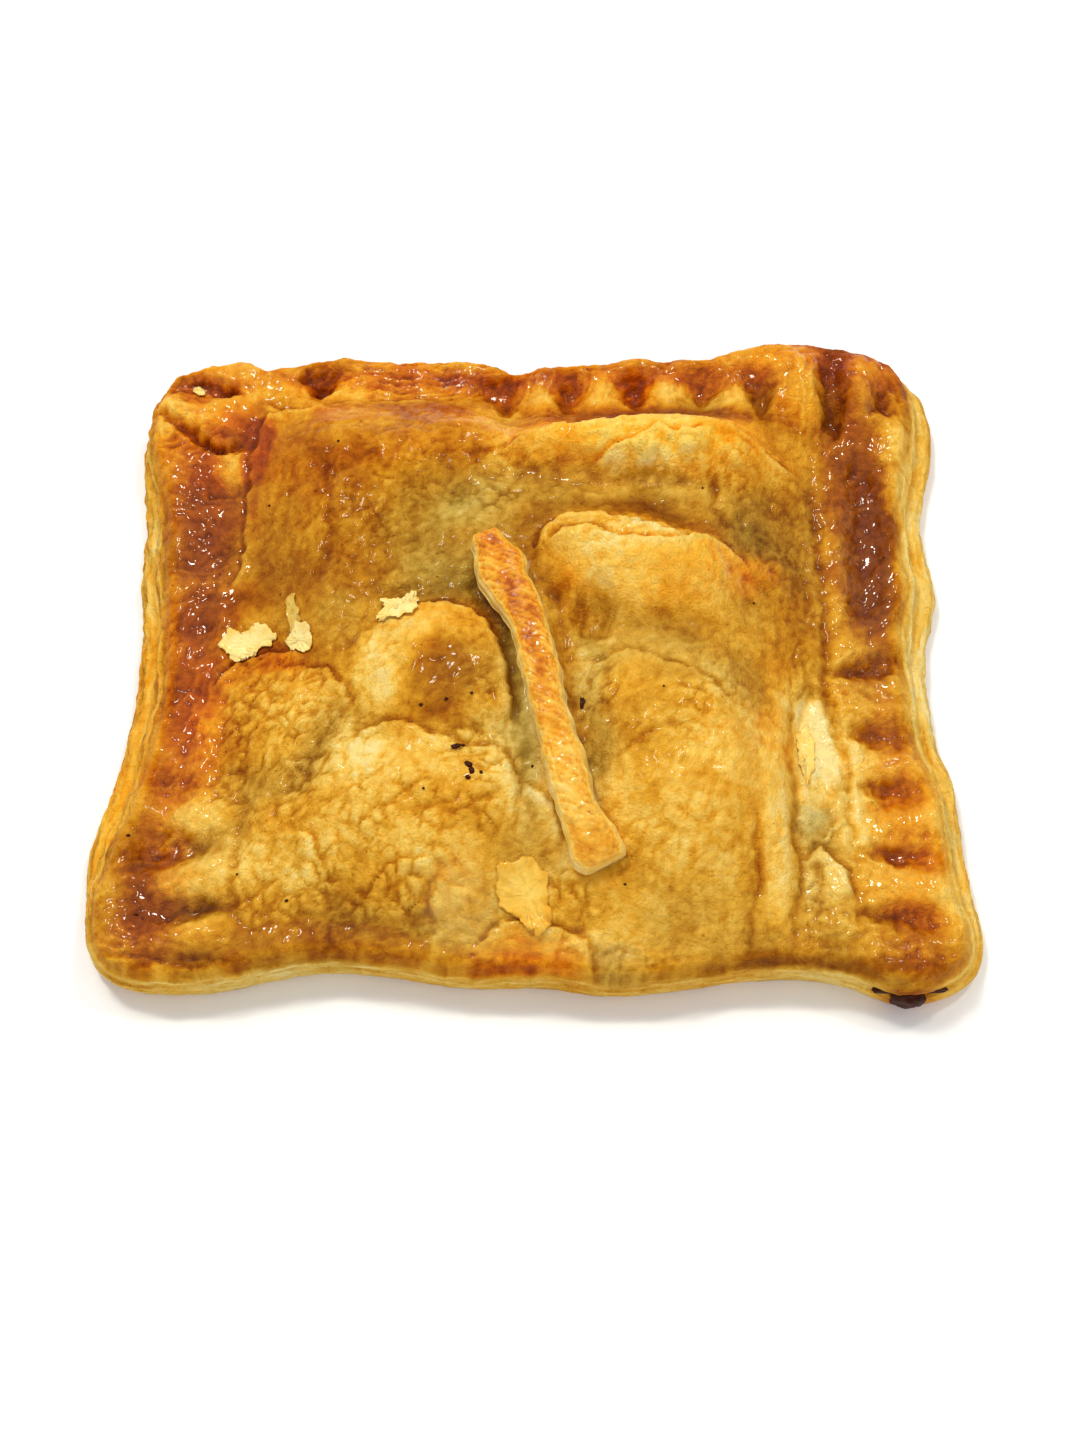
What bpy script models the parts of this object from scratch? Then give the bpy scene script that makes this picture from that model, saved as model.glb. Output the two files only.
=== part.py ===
"""A slab pie of puff pastry with a pinched rim and one loose strip of dough baked on its lid.

Everything is worked out on a plan in millimetres: X runs to the right, Y to the back, and the
plan's zero lies near the middle of the lid. Meshes are written in metres, with their origin
under the middle of the pie.
"""

import math

import bmesh
import bpy
import numpy as np
from mathutils import Vector, noise

MM = 0.001
PLAN_CENTRE = (-0.02, 7.93)

# Outline of the lid from above, as (place along the side, place of the edge).
LEFT_EDGE = (
    (-67, -86.5), (-50, -86.5), (-40, -84), (-30, -80.5), (-20, -78.5), (-8, -77), (5, -77),
    (18, -78), (30, -79.5), (42, -80.5), (52, -83), (62, -85), (78, -84),
)
RIGHT_EDGE = (
    (-67, 86), (-60, 85.5), (-50, 83), (-40, 82.5), (-30, 81.5), (-20, 78.5), (-8, 77.5),
    (8, 77.5), (20, 79.5), (30, 79), (40, 79.5), (50, 81.5), (60, 83.5), (70, 84.5), (82, 84),
)
BACK_EDGE = (
    (-84, 77.5), (-75, 78), (-67, 79), (-63, 76.5), (-58, 77), (-52, 78.5), (-45, 79.5), (-36, 78.5),
    (-24, 78.5), (-12, 78.5), (-4, 75.5), (3, 77.5), (9, 77), (16, 78.5), (30, 79.5), (40, 79.5),
    (48, 81.5), (58, 82.5), (74, 82), (84, 81),
)
FRONT_EDGE = (
    (-86, -65), (-75, -66), (-62, -65.5), (-50, -63), (-40, -61.8), (-30, -62.5), (-12, -65),
    (2, -65), (14, -66.5), (26, -66), (40, -63.8), (52, -63.2), (62, -64.5), (73, -68), (86, -64.5),
)
SIDE_RUN = (-67, 79.5)
# Rounding of the corners, as how far each is drawn in.
CORNER_PULLS = {(-1, -1): 2.6, (1, -1): 2.0, (-1, 1): 3.6, (1, 1): 4.0}
CORNER_REACH = 38

# How far the base pastry spreads beyond the lid, as (place along the side, spread).
LEFT_SPREAD = (
    (-66, 0.3), (-50, 2.8), (-34, 6.8), (-20, 7.4), (8, 6.5), (32, 6), (50, 4), (66, 1.5), (78, 1.2),
)
RIGHT_SPREAD = (
    (-66, 3.6), (-50, 5), (-30, 5.2), (-21, 7), (-8, 6), (8, 6.4), (28, 7.6), (42, 6), (62, 6.6), (80, 5),
)
BACK_SPREAD = ((-84, 2), (-40, 3), (0, 3.5), (40, 2.5), (84, 2.5))
FRONT_SPREAD = ((-86, 1), (-70, 0.4), (-45, 0), (0, 0), (45, 0), (73, 0.6), (86, 2))

# Heights over the table.
RIM_HEIGHT = 13.0
BACK_RIM_RISE = 2.0
LID_RISE = 11.0
LIP_ROUND = 3.2
LIP_DROP = 2.4
NOMINAL_WIDTH = 165.0
NOMINAL_DEPTH = 146.0
# Where the rise of the lid starts and ends, in from each edge.
RISE_LEFT = (14, 46)
RISE_RIGHT = (15, 46)
RISE_BACK = (10, 30)
RISE_FRONT = (-2, 36)

# Lumps of filling under the lid, and the dips between: (x, y, radius, radius, turn in degrees,
# height, fullness). A fullness above 1 flattens the top and steepens the flank.
SWELLS = (
    (60, 73, 26, 14, -8, 4.4, 1.2),  # puffed corner at the back right
    (-20, -7, 18, 19, 0, 7.0, 1.7),  # lump left of the strip
    (-22, -38, 26, 23, 12, 4.6, 1.6),  # lump in front of it
    (-54, -12, 13, 17, 8, 3.2, 1.4),  # low lump by the left rim
    (21, 19, 25, 15, -18, 6.6, 1.7),  # lump right of the strip's far end
    (30, -24, 20, 32, 4, 5.0, 1.6),  # broad lump right of the strip
    (26, 53, 37, 10, -6, 4.6, 1.4),  # roll along the back
    (-50, 40, 16, 22, 0, 1.6, 1.4),  # flat shoulder at the back left
    (-12, 42, 17, 15, 0, -2.2, 1.2),  # pale hollow beyond the strip
    (14, 41, 20, 5.5, -4, -2.2, 1.0),  # valley before the roll
    (12.5, 7, 6, 8, 0, -3.4, 1.6),  # nook beside the strip
    (56, -30, 7, 36, 0, -2.2, 1.4),  # trough along the right
    (57, 22, 6, 22, -4, -1.2, 1.2),
    (47, 20, 4.5, 4.5, 0, 1.5, 1.0),
    (48, -38, 4.4, 26, 0, 1.5, 1.4),  # pleat beside the trough
)

# Rim pressed down by fingers, as wedges: (outer x, outer y, tip x, tip y, half width, depth).
PRESSES = (
    (82, 4, 61, -1, 5.0, 2.8), (82, -15, 62, -14, 5.5, 2.8), (83, -28, 65, -25.5, 5.0, 2.6),
    (85, -42, 66, -40.5, 4.6, 2.6), (86, -56, 63, -53.5, 4.8, 2.2), (80, 68, 74, 63, 4.5, 2.2),
    (66, 82, 67, 57, 6.0, 5.0), (50, 79, 51, 59, 5.8, 3.4), (38, 78, 37.5, 63, 5.2, 2.8),
    (22, 78, 23, 64, 5.6, 3.0), (8, 77, 7, 62, 5.6, 3.0), (-8, 77, -6, 62, 6.5, 3.6),
    (-46, 79, -49, 67, 5.6, 3.4), (-82, 72, -64, 70, 4.8, 3.2), (-85, 62, -62, 55, 6.0, 4.0),
    (-80, 46, -62, 44, 6.0, 1.8), (-79, 30, -63, 29, 8.0, 2.2), (-78, 12, -65, 10, 6.0, 2.0),
    (-77, -6, -67, -5, 6.0, 1.8), (-79, -24, -67, -26, 5.0, 1.8), (-84, -40, -62, -39.5, 7.0, 3.2),
    (-86, -54, -58, -52.5, 5.5, 3.0), (-82, -63, -59, -63.5, 3.6, 2.0),
)

# Sunken bands behind the lip: (points, half width, depth).
CHANNELS = (
    (((-72, 66), (-71, 40), (-71, 10), (-72, -20), (-77, -45), (-76, -58)), 7.5, 1.6),
    (((72, 62), (72, 40), (72, 20), (71, 4), (70, -20), (74, -50)), 7.5, 1.8),
    (((-60, 71), (-30, 72), (0, 70), (30, 72), (60, 75)), 6.0, 1.2),
    (((72, 56), (72.5, 40), (71, 24), (70, 10)), 6.0, 1.8),
)

# Narrow folds in the lid: (points, half width, depth).
FOLDS = (
    (((61.5, 46), (61, 30), (61, 10), (61.5, -5), (64, -25), (65, -45)), 2.2, 1.1),
    (((53, -4), (52.8, -20), (52, -40), (52, -62)), 1.8, 2.0),
    (((44.5, -40), (43.5, -54), (43, -64)), 1.6, 1.5),
    (((39, 46), (38, 34), (42, 28)), 2.0, 1.0),
    (((-58, -28), (-58, -44), (-57, -60)), 2.6, 0.8),
    (((-36, -9), (-42, -19), (-50, -32)), 4.0, 1.8),
    (((-46, 48), (-42, 32), (-45, 14)), 3.0, 0.7),
    (((-8, 28), (-12, 14), (-7, 2), (-4, -12), (-2, -26), (1, -42)), 3.6, 1.0),
    (((5, 16), (8, -6), (10, -20), (14, -34)), 3.4, 1.0),
)

# Torn edges where an upper skin ends in a step. The high side lies to the right of the line as
# it runs: (points, step, how far the step takes to fade).
STEPS = (
    (((-39, -6), (-34, 2), (-27, 8), (-19, 9.5), (-12, 7.5), (-7, 1), (-5, -8), (-3.5, -20)), 1.7, 7),
    (((-38, -22), (-33, -19), (-27, -18.5), (-21, -21), (-14, -24), (-6, -23.5), (-2.5, -30), (-4.5, -42)), 1.4, 8),
    (((0, 20), (2, 27), (7, 29.5), (12, 29), (20, 26.5), (30, 23), (40, 24), (46, 18)), 1.8, 8),
    (((11, -14), (13, -4), (19, -1), (27, -5), (34, -9), (41, -14)), 1.3, 8),
    (((-7, 50), (-4, 56), (4, 58.5), (16, 59.5), (26, 62), (35, 61.5), (45, 58.5), (52, 53.5), (59, 50)), 1.5, 7),
    (((-67, -4), (-62, 1), (-56, 2.5), (-51, 1), (-46, 1)), 1.3, 7),
    (((-47, -3), (-42, -5), (-38, -9), (-36, -14)), 1.2, 5),
    (((-66, 16), (-62.5, 26), (-62.5, 40), (-62, 52), (-59, 63), (-50, 63), (-42, 66), (-28, 67), (-16, 66)), 1.6, 6),
    (((54.5, -44), (57, -40), (61, -44), (64, -51)), 1.3, 6),
)
STEP_WIDTH = 3.6

# Middle line of the strip from its far end, and the height of the lid under it: (x, y, height).
STRIP_LINE = (
    (-9.4, 24.5, 23.6), (-6, 14, 24.2), (-1, 4.3, 24.6), (1.5, -5.6, 24.8), (3.5, -17.4, 24.4),
    (5, -22.7, 24.0), (7.4, -31.6, 22.8), (10.9, -40.5, 20.8), (14.2, -46.8, 19.0),
)
SEAT_HALF = 4.6
SEAT_FADE = 4.5
STRIP_GAP = 0.35
STRIP_HEIGHT = 5.6
# Half width of the strip along its length, as (share of its length, half width).
STRIP_HALF_WIDTHS = ((0, 3.9), (0.06, 4.9), (0.13, 5.2), (0.25, 4.3), (0.45, 3.9), (0.7, 3.9), (0.9, 4.3), (1, 4.1))

# Unevenness of baked dough: (wavelength, height).
DOUGH_WAVES = ((26, 0.8), (12, 0.45), (7, 0.25))

# How finely the solids are cut.
GRID_COLUMNS = 64
GRID_ROWS = 54
EDGE_CROWDING = 0.12
STRIP_STATIONS = 30
STRIP_SIDES = 14

# Side of the pie below the lip: (share of the spread, further out, share of the lip's height).
SIDE_ROWS = (
    (0.10, 0.9, 0.86), (0.30, 1.0, 0.70), (0.34, 0.0, 0.59), (0.72, 0.9, 0.47), (1.0, 0.6, 0.24),
    (0.94, 0.3, 0.07), (0.82, 0.0, 0.0),
)
# The seam between lid and base wanders, and each layer of the side stands out unevenly.
SEAM_WAVES = (11, 0.14)
LAYER_WAVES = (5, 0.9)

CRUST_COLOUR = (0.62, 0.33, 0.07, 1)
STRIP_COLOUR = (0.70, 0.36, 0.10, 1)
CRUST_ROUGHNESS = 0.42
STRIP_ROUGHNESS = 0.38


def curve_through(points, at):
    """Reads a smooth curve through (place, value) points at the given places."""
    place, value = np.array(points, float).T
    slope = np.gradient(value, place)
    i = np.clip(np.searchsorted(place, at) - 1, 0, len(place) - 2)
    step = place[i + 1] - place[i]
    t = np.clip((at - place[i]) / step, 0, 1)
    rise = t * t * (3 - 2 * t)
    bend = step * (slope[i] * t * (1 - t) ** 2 - slope[i + 1] * t * t * (1 - t))
    return value[i] + (value[i + 1] - value[i]) * rise + bend


def ease(value, low, high):
    """Runs smoothly from 0 at low to 1 at high."""
    t = np.clip((value - low) / (high - low), 0, 1)
    return t * t * (3 - 2 * t)


def line_distance(x, y, points):
    """Distance to a bent line, positive on its right, with the share of the way along it."""
    best = np.full(x.shape, 1e9)
    side = np.ones(x.shape)
    share = np.zeros(x.shape)
    points = np.array(points, float)[:, :2]
    lengths = np.hypot(*np.diff(points, axis=0).T)
    run = np.concatenate([[0], np.cumsum(lengths)]) / lengths.sum()
    for k, (a, b) in enumerate(zip(points, points[1:])):
        along = b - a
        t = np.clip(((x - a[0]) * along[0] + (y - a[1]) * along[1]) / (along @ along), 0, 1)
        dx, dy = x - a[0] - t * along[0], y - a[1] - t * along[1]
        away = np.hypot(dx, dy)
        near = away < best
        turn = np.sign(along[1] * (x - a[0]) - along[0] * (y - a[1]))
        best = np.where(near, away, best)
        side = np.where(near, turn, side)
        share = np.where(near, run[k] + t * (run[k + 1] - run[k]), share)
    return best * side, share


def swell(x, y, centre_x, centre_y, radius_x, radius_y, turn, height, fullness):
    """A rounded lump, or a dip where the height is negative."""
    c, s = math.cos(math.radians(turn)), math.sin(math.radians(turn))
    dx, dy = x - centre_x, y - centre_y
    away = np.hypot((dx * c + dy * s) / radius_x, (dy * c - dx * s) / radius_y)
    return height * (0.5 + 0.5 * np.cos(math.pi * np.clip(away, 0, 1) ** fullness))


def press(x, y, outer_x, outer_y, tip_x, tip_y, half_width, depth):
    """A dent pressed in from the rim, wide at the lip and running out to a point."""
    along = np.array([tip_x - outer_x, tip_y - outer_y], float)
    length = np.hypot(*along)
    along /= length
    dx, dy = x - outer_x, y - outer_y
    share = (dx * along[0] + dy * along[1]) / length
    across = np.abs(dy * along[0] - dx * along[1])
    width = half_width * np.clip(1.2 - share, 0.5, 1)
    hollow = 1 - ease(across, 0, width)
    return -depth * hollow * ease(share, 0.02, 0.35) * (1 - ease(share, 0.8, 1.1))


def fold(x, y, points, half_width, depth):
    """A sunken line that fades at both ends."""
    away, share = line_distance(x, y, points)
    ends = ease(share, 0, 0.12) * (1 - ease(share, 0.88, 1))
    return -depth * ends * (1 - ease(np.abs(away), 0, half_width))


def torn_step(x, y, points, height, fade, width):
    """A step up on the right of a line, which sinks back to nothing over the fade."""
    away, share = line_distance(x, y, points)
    ends = ease(share, 0, 0.1) * (1 - ease(share, 0.9, 1))
    return height * ends * ease(away, -width / 2, width / 2) * (1 - ease(away, 0, fade * 2))


def dough_waves(x, y):
    """Gentle unevenness, the same at each run."""
    total = np.zeros(x.shape)
    for wavelength, height in DOUGH_WAVES:
        grain = [noise.noise(Vector((a / wavelength, b / wavelength, wavelength))) for a, b in zip(x, y)]
        total += height * np.array(grain)
    return total


def edge_waves(x, y, layer, wavelength, height):
    """Unevenness along the side of the pie, different for each layer."""
    grain = [noise.noise(Vector((a / wavelength, b / wavelength, layer * 9))) for a, b in zip(x, y)]
    return height * np.array(grain)


def plan_places(u, v):
    """Places on the plan for u and v from -1 to 1, which run over the lid to its outline."""
    front, back = SIDE_RUN
    left, right = LEFT_EDGE[0][1], RIGHT_EDGE[0][1]
    across, along = (u + 1) / 2, (v + 1) / 2
    x_line = left + (right - left) * across
    y_line = front + (back - front) * along
    x = curve_through(LEFT_EDGE, y_line) * (1 - across) + curve_through(RIGHT_EDGE, y_line) * across
    y = curve_through(FRONT_EDGE, x_line) * (1 - along) + curve_through(BACK_EDGE, x_line) * along
    for (sign_u, sign_v), pull in CORNER_PULLS.items():
        weight = (np.clip(u * sign_u, 0, 1) * np.clip(v * sign_v, 0, 1)) ** (CORNER_REACH / pull)
        x = x - sign_u * pull * weight
        y = y - sign_v * pull * weight
    return x, y


def lid_height(x, y, u, v):
    """Height of the lid's top over the table at places on the plan."""
    from_left, from_right = (1 + u) * NOMINAL_WIDTH / 2, (1 - u) * NOMINAL_WIDTH / 2
    from_front, from_back = (1 + v) * NOMINAL_DEPTH / 2, (1 - v) * NOMINAL_DEPTH / 2
    rise = ease(from_left, *RISE_LEFT) * ease(from_right, *RISE_RIGHT)
    rise = rise * ease(from_back, *RISE_BACK) * ease(from_front, *RISE_FRONT)
    z = RIM_HEIGHT + BACK_RIM_RISE * (1 - ease(from_back, 0, 40)) + LID_RISE * rise
    for form in SWELLS:
        z = z + swell(x, y, *form)
    for form in PRESSES:
        z = z + press(x, y, *form)
    for form in CHANNELS + FOLDS:
        z = z + fold(x, y, *form)
    for form in STEPS:
        z = z + torn_step(x, y, *form, STEP_WIDTH)
    z = z + dough_waves(x, y)
    away, share = line_distance(x, y, STRIP_LINE)
    seat = curve_through([(s, h) for s, h in zip(strip_shares(), np.array(STRIP_LINE)[:, 2])], share)
    hold = 1 - ease(np.abs(away), SEAT_HALF, SEAT_HALF + SEAT_FADE)
    z = z * (1 - hold) + seat * hold
    edge = np.minimum.reduce([from_left, from_right, from_front, from_back])
    bend = 1 - np.clip(edge, 0, LIP_ROUND) / LIP_ROUND
    return z - LIP_DROP * (1 - np.sqrt(1 - 0.98 * bend**2))


def strip_shares():
    """Share of the strip's length at each point of its middle line."""
    steps = np.hypot(*np.diff(np.array(STRIP_LINE)[:, :2], axis=0).T)
    return np.concatenate([[0], np.cumsum(steps)]) / steps.sum()


def place(vertex, x, y, z):
    """Moves a vertex to a place on the plan."""
    vertex.co = Vector(((x - PLAN_CENTRE[0]) * MM, (y - PLAN_CENTRE[1]) * MM, z * MM))


def boundary_ring(mesh):
    """Vertices round the open edge of a sheet, in order."""
    edge = next(e for e in mesh.edges if e.is_boundary)
    ring = [edge.verts[0], edge.verts[1]]
    while True:
        links = [e for e in ring[-1].link_edges if e.is_boundary]
        step = next(v for e in links for v in e.verts if v not in ring[-2:])
        if step is ring[0]:
            return ring
        ring.append(step)


def new_object(name, mesh, material):
    """A named object from a finished bmesh."""
    data = bpy.data.meshes.new(name)
    bmesh.ops.recalc_face_normals(mesh, faces=mesh.faces)
    mesh.to_mesh(data)
    mesh.free()
    data.shade_smooth()
    data.materials.append(material)
    made = bpy.data.objects.new(name, data)
    bpy.context.scene.collection.objects.link(made)
    return made


def pastry(name, colour, roughness):
    """Baked pastry with an egg glaze."""
    material = bpy.data.materials.new(name)
    material.use_nodes = True
    shader = material.node_tree.nodes["Principled BSDF"]
    shader.inputs["Base Color"].default_value = colour
    shader.inputs["Roughness"].default_value = roughness
    shader.inputs["Metallic"].default_value = 0.0
    return material


def make_crust():
    """Lid, rim, flaky side and base in one closed body. The base rests flat on the table."""
    mesh = bmesh.new()
    bmesh.ops.create_grid(mesh, x_segments=GRID_COLUMNS, y_segments=GRID_ROWS, size=1)
    sheet = np.array([vertex.co[:2] for vertex in mesh.verts]).T
    u, v = sheet * (1 + EDGE_CROWDING) - sheet**3 * EDGE_CROWDING
    x, y = plan_places(u, v)
    z = lid_height(x, y, u, v)
    ring = boundary_ring(mesh)
    mesh.verts.index_update()
    order = [vertex.index for vertex in ring]
    for vertex, *spot in zip(mesh.verts, x, y, z):
        place(vertex, *spot)
    ring_u, ring_v = u[order], v[order]
    ring_x, ring_y, ring_z = x[order], y[order], z[order]
    outward, spread = side_spread(ring_x, ring_y, ring_u, ring_v)
    for spread_share, further, height_share in SIDE_ROWS:
        edges = [e for e in mesh.edges if e.is_boundary]
        lowered = bmesh.ops.extrude_edge_only(mesh, edges=edges)["geom"]
        fresh = {g for g in lowered if isinstance(g, bmesh.types.BMVert)}
        row = [next(e.other_vert(vertex) for e in vertex.link_edges if e.other_vert(vertex) in fresh)
               for vertex in ring]
        wander = edge_waves(ring_x, ring_y, 0, *SEAM_WAVES)
        out = spread_share * spread + further + edge_waves(ring_x, ring_y, height_share, *LAYER_WAVES)
        row_x, row_y = ring_x + outward[0] * out, ring_y + outward[1] * out
        height = ring_z * (height_share + wander * height_share * (1 - height_share) * 4)
        for vertex, *spot in zip(row, row_x, row_y, height):
            place(vertex, *spot)
        ring = row
    bmesh.ops.holes_fill(mesh, edges=[e for e in mesh.edges if e.is_boundary], sides=0)
    return new_object("crust", mesh, pastry("crust", CRUST_COLOUR, CRUST_ROUGHNESS))


def side_spread(x, y, u, v):
    """Outward direction round the lid, and how far the base reaches beyond it."""
    along_x = np.roll(x, -3) - np.roll(x, 3)
    along_y = np.roll(y, -3) - np.roll(y, 3)
    length = np.hypot(along_x, along_y)
    outward = np.array([along_y, -along_x]) / length
    if (outward[0] * u + outward[1] * v).sum() < 0:
        outward = -outward
    sides = np.array([
        curve_through(LEFT_SPREAD, y), curve_through(RIGHT_SPREAD, y),
        curve_through(BACK_SPREAD, x), curve_through(FRONT_SPREAD, x),
    ])
    weights = np.clip([-u, u, v, -v], 0, 1) ** 24
    return outward, (sides * weights).sum(0) / weights.sum(0)


def make_strip():
    """Cut strip of dough lying along its seat in the lid, blunt at both ends."""
    line = np.array(STRIP_LINE)
    shares = strip_shares()
    stations = np.linspace(0, 1, STRIP_STATIONS)
    centre = np.array([curve_through(list(zip(shares, line[:, k])), stations) for k in range(3)])
    heading = np.gradient(centre[:2], axis=1)
    heading /= np.hypot(*heading)
    half = curve_through(STRIP_HALF_WIDTHS, stations)
    mesh = bmesh.new()
    rings = []
    for k in range(STRIP_STATIONS):
        end = min(k, STRIP_STATIONS - 1 - k)
        round_off = (0.72, 0.93, 1.0)[min(end, 2)]
        ring = bmesh.ops.create_circle(mesh, segments=STRIP_SIDES, radius=1)["verts"]
        for vertex in ring:
            across, up = section_point(vertex.co.x, vertex.co.y)
            side = across * half[k] * round_off
            place(
                vertex,
                centre[0, k] + heading[1, k] * side,
                centre[1, k] - heading[0, k] * side,
                centre[2, k] + STRIP_GAP + up * STRIP_HEIGHT * (round_off if up > 0.5 else 1),
            )
        rings.append([e for e in mesh.edges if set(e.verts) <= set(ring)])
    for ring, following in zip(rings, rings[1:]):
        bmesh.ops.bridge_loops(mesh, edges=ring + following)
    bmesh.ops.holes_fill(mesh, edges=[e for e in mesh.edges if e.is_boundary], sides=0)
    return new_object("strip", mesh, pastry("strip", STRIP_COLOUR, STRIP_ROUGHNESS))


def section_point(circle_x, circle_y):
    """Turns a point of a unit circle into one of the strip's section: flat below, crowned above."""
    squareness = 0.55
    across = math.copysign(abs(circle_x) ** squareness, circle_x)
    up = math.copysign(abs(circle_y) ** squareness, circle_y)
    return across * (1 - 0.1 * max(up, 0)), 0.5 + 0.5 * up


def main():
    for leftover in list(bpy.data.objects):
        bpy.data.objects.remove(leftover)
    crust = make_crust()
    strip = make_strip()
    strip.parent = crust


main()
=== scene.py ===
"""Looks of a slab pie of puff pastry, sealed by hand, with a strip of dough baked on its lid.

Plan sizes are in millimetres: X runs to the right, Y to the back, and the plan's zero lies near
the middle of the lid. Each finished mesh is in metres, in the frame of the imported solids.
"""

import math

import bmesh
import bpy
import numpy as np
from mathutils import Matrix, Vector, noise


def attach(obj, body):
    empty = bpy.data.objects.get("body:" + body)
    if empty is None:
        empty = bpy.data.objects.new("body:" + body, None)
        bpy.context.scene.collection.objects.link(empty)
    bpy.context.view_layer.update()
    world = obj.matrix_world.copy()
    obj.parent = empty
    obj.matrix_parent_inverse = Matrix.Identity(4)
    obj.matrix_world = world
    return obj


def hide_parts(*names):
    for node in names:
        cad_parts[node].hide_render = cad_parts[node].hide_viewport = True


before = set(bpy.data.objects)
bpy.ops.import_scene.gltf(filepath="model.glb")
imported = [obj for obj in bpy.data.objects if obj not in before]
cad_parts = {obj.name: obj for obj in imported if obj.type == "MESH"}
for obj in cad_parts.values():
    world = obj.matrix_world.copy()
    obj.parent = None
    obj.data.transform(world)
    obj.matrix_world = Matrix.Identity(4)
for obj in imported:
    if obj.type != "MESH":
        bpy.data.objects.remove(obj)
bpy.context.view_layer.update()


# Base. The lower sheet of puff pastry carries the filling, and its cut edge has risen into thin
# leaves that stick out past the lid. It is built as a stack of rings, row under row, round the
# outline that lid and base share.
MM = 0.001
PLAN_CENTRE = (-0.02, 7.93)
LEFT_EDGE = (
    (-67, -86.5), (-50, -86.5), (-40, -84), (-30, -80.5), (-20, -78.5), (-8, -77), (5, -77),
    (18, -78), (30, -79.5), (42, -80.5), (52, -83), (62, -85), (78, -84),
)
RIGHT_EDGE = (
    (-67, 86), (-60, 85.5), (-50, 83), (-40, 82.5), (-30, 81.5), (-20, 78.5), (-8, 77.5),
    (8, 77.5), (20, 79.5), (30, 79), (40, 79.5), (50, 81.5), (60, 83.5), (70, 84.5), (82, 84),
)
BACK_EDGE = (
    (-84, 77.5), (-75, 78), (-67, 79), (-63, 76.5), (-58, 77), (-52, 78.5), (-45, 79.5), (-36, 78.5),
    (-24, 78.5), (-12, 78.5), (-4, 75.5), (3, 77.5), (9, 77), (16, 78.5), (30, 79.5), (40, 79.5),
    (48, 81.5), (58, 82.5), (74, 82), (84, 81),
)
FRONT_EDGE = (
    (-86, -65), (-75, -66), (-62, -65.5), (-50, -63), (-40, -61.8), (-30, -62.5), (-12, -65),
    (2, -65), (14, -66.5), (26, -66), (40, -63.8), (52, -63.2), (62, -64.5), (73, -68), (86, -64.5),
)
SIDE_RUN = (-67, 79.5)
CORNER_PULLS = {(-1, -1): 2.6, (1, -1): 2.0, (-1, 1): 3.6, (1, 1): 4.0}
CORNER_REACH = 38
EDGE_CROWDING = 0.12
LEFT_SPREAD = (
    (-66, 0.3), (-50, 2.8), (-34, 6.8), (-20, 7.4), (8, 6.5), (32, 6), (50, 4), (66, 1.5), (78, 1.2),
)
RIGHT_SPREAD = (
    (-66, 3.6), (-50, 5), (-30, 5.2), (-21, 7), (-8, 6), (8, 6.4), (28, 7.6), (42, 6), (62, 6.6), (80, 5),
)
BACK_SPREAD = ((-84, 2), (-40, 3), (0, 3.5), (40, 2.5), (84, 2.5))
FRONT_SPREAD = ((-86, 1), (-70, 0.4), (-45, 0), (0, 0), (45, 0), (73, 0.6), (86, 2))
# Side of the pie: (share of the lip's height, share of the spread, further out).
SIDE_PROFILE = (
    (0, 0.82, 0), (0.07, 0.94, 0.3), (0.24, 1, 0.6), (0.47, 0.72, 0.9), (0.59, 0.34, 0),
    (0.70, 0.30, 1.0), (0.86, 0.10, 0.9), (1, 0, 0),
)
SEAM_WAVES = (11, 0.14)
LEAVES = 17
LEAF_GROOVE = 0.55
LEAF_GROOVE_WIDTH = 0.16
LEAF_STEP = 0.75
LEAF_WANDER = (16, 0.9)
LID_COLUMNS = 300
LID_ROWS = 250
BASE_ROWS = 27
BASE_TOP = 0.62
BASE_TUCK = 5


def curve_through(points, at):
    """Reads a smooth curve through (place, value) points at the given places."""
    place, value = np.array(points, float).T
    slope = np.gradient(value, place)
    i = np.clip(np.searchsorted(place, at) - 1, 0, len(place) - 2)
    step = place[i + 1] - place[i]
    t = np.clip((at - place[i]) / step, 0, 1)
    rise = t * t * (3 - 2 * t)
    bend = step * (slope[i] * t * (1 - t) ** 2 - slope[i + 1] * t * t * (1 - t))
    return value[i] + (value[i + 1] - value[i]) * rise + bend


def ease(value, low, high):
    """Runs smoothly from 0 at low to 1 at high."""
    t = np.clip((value - low) / (high - low), 0, 1)
    return t * t * (3 - 2 * t)


def waves(x, y, wavelength, layer=0.0):
    """Uneven swells from -1 to 1, the same at each run."""
    return np.array([noise.noise(Vector((a, b, layer))) for a, b in zip(x / wavelength, y / wavelength)])


def layered(x, y, *parts):
    """Sum of uneven swells, each with its height, wavelength and layer."""
    return sum(height * waves(x, y, wavelength, layer) for height, wavelength, layer in parts)


def plan_places(u, v):
    """Places on the plan for u and v from -1 to 1, which run over the lid to its outline."""
    front, back = SIDE_RUN
    left, right = LEFT_EDGE[0][1], RIGHT_EDGE[0][1]
    across, along = (u + 1) / 2, (v + 1) / 2
    x_line = left + (right - left) * across
    y_line = front + (back - front) * along
    x = curve_through(LEFT_EDGE, y_line) * (1 - across) + curve_through(RIGHT_EDGE, y_line) * across
    y = curve_through(FRONT_EDGE, x_line) * (1 - along) + curve_through(BACK_EDGE, x_line) * along
    for (sign_u, sign_v), pull in CORNER_PULLS.items():
        weight = (np.clip(u * sign_u, 0, 1) * np.clip(v * sign_v, 0, 1)) ** (CORNER_REACH / pull)
        x = x - sign_u * pull * weight
        y = y - sign_v * pull * weight
    return x, y


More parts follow.
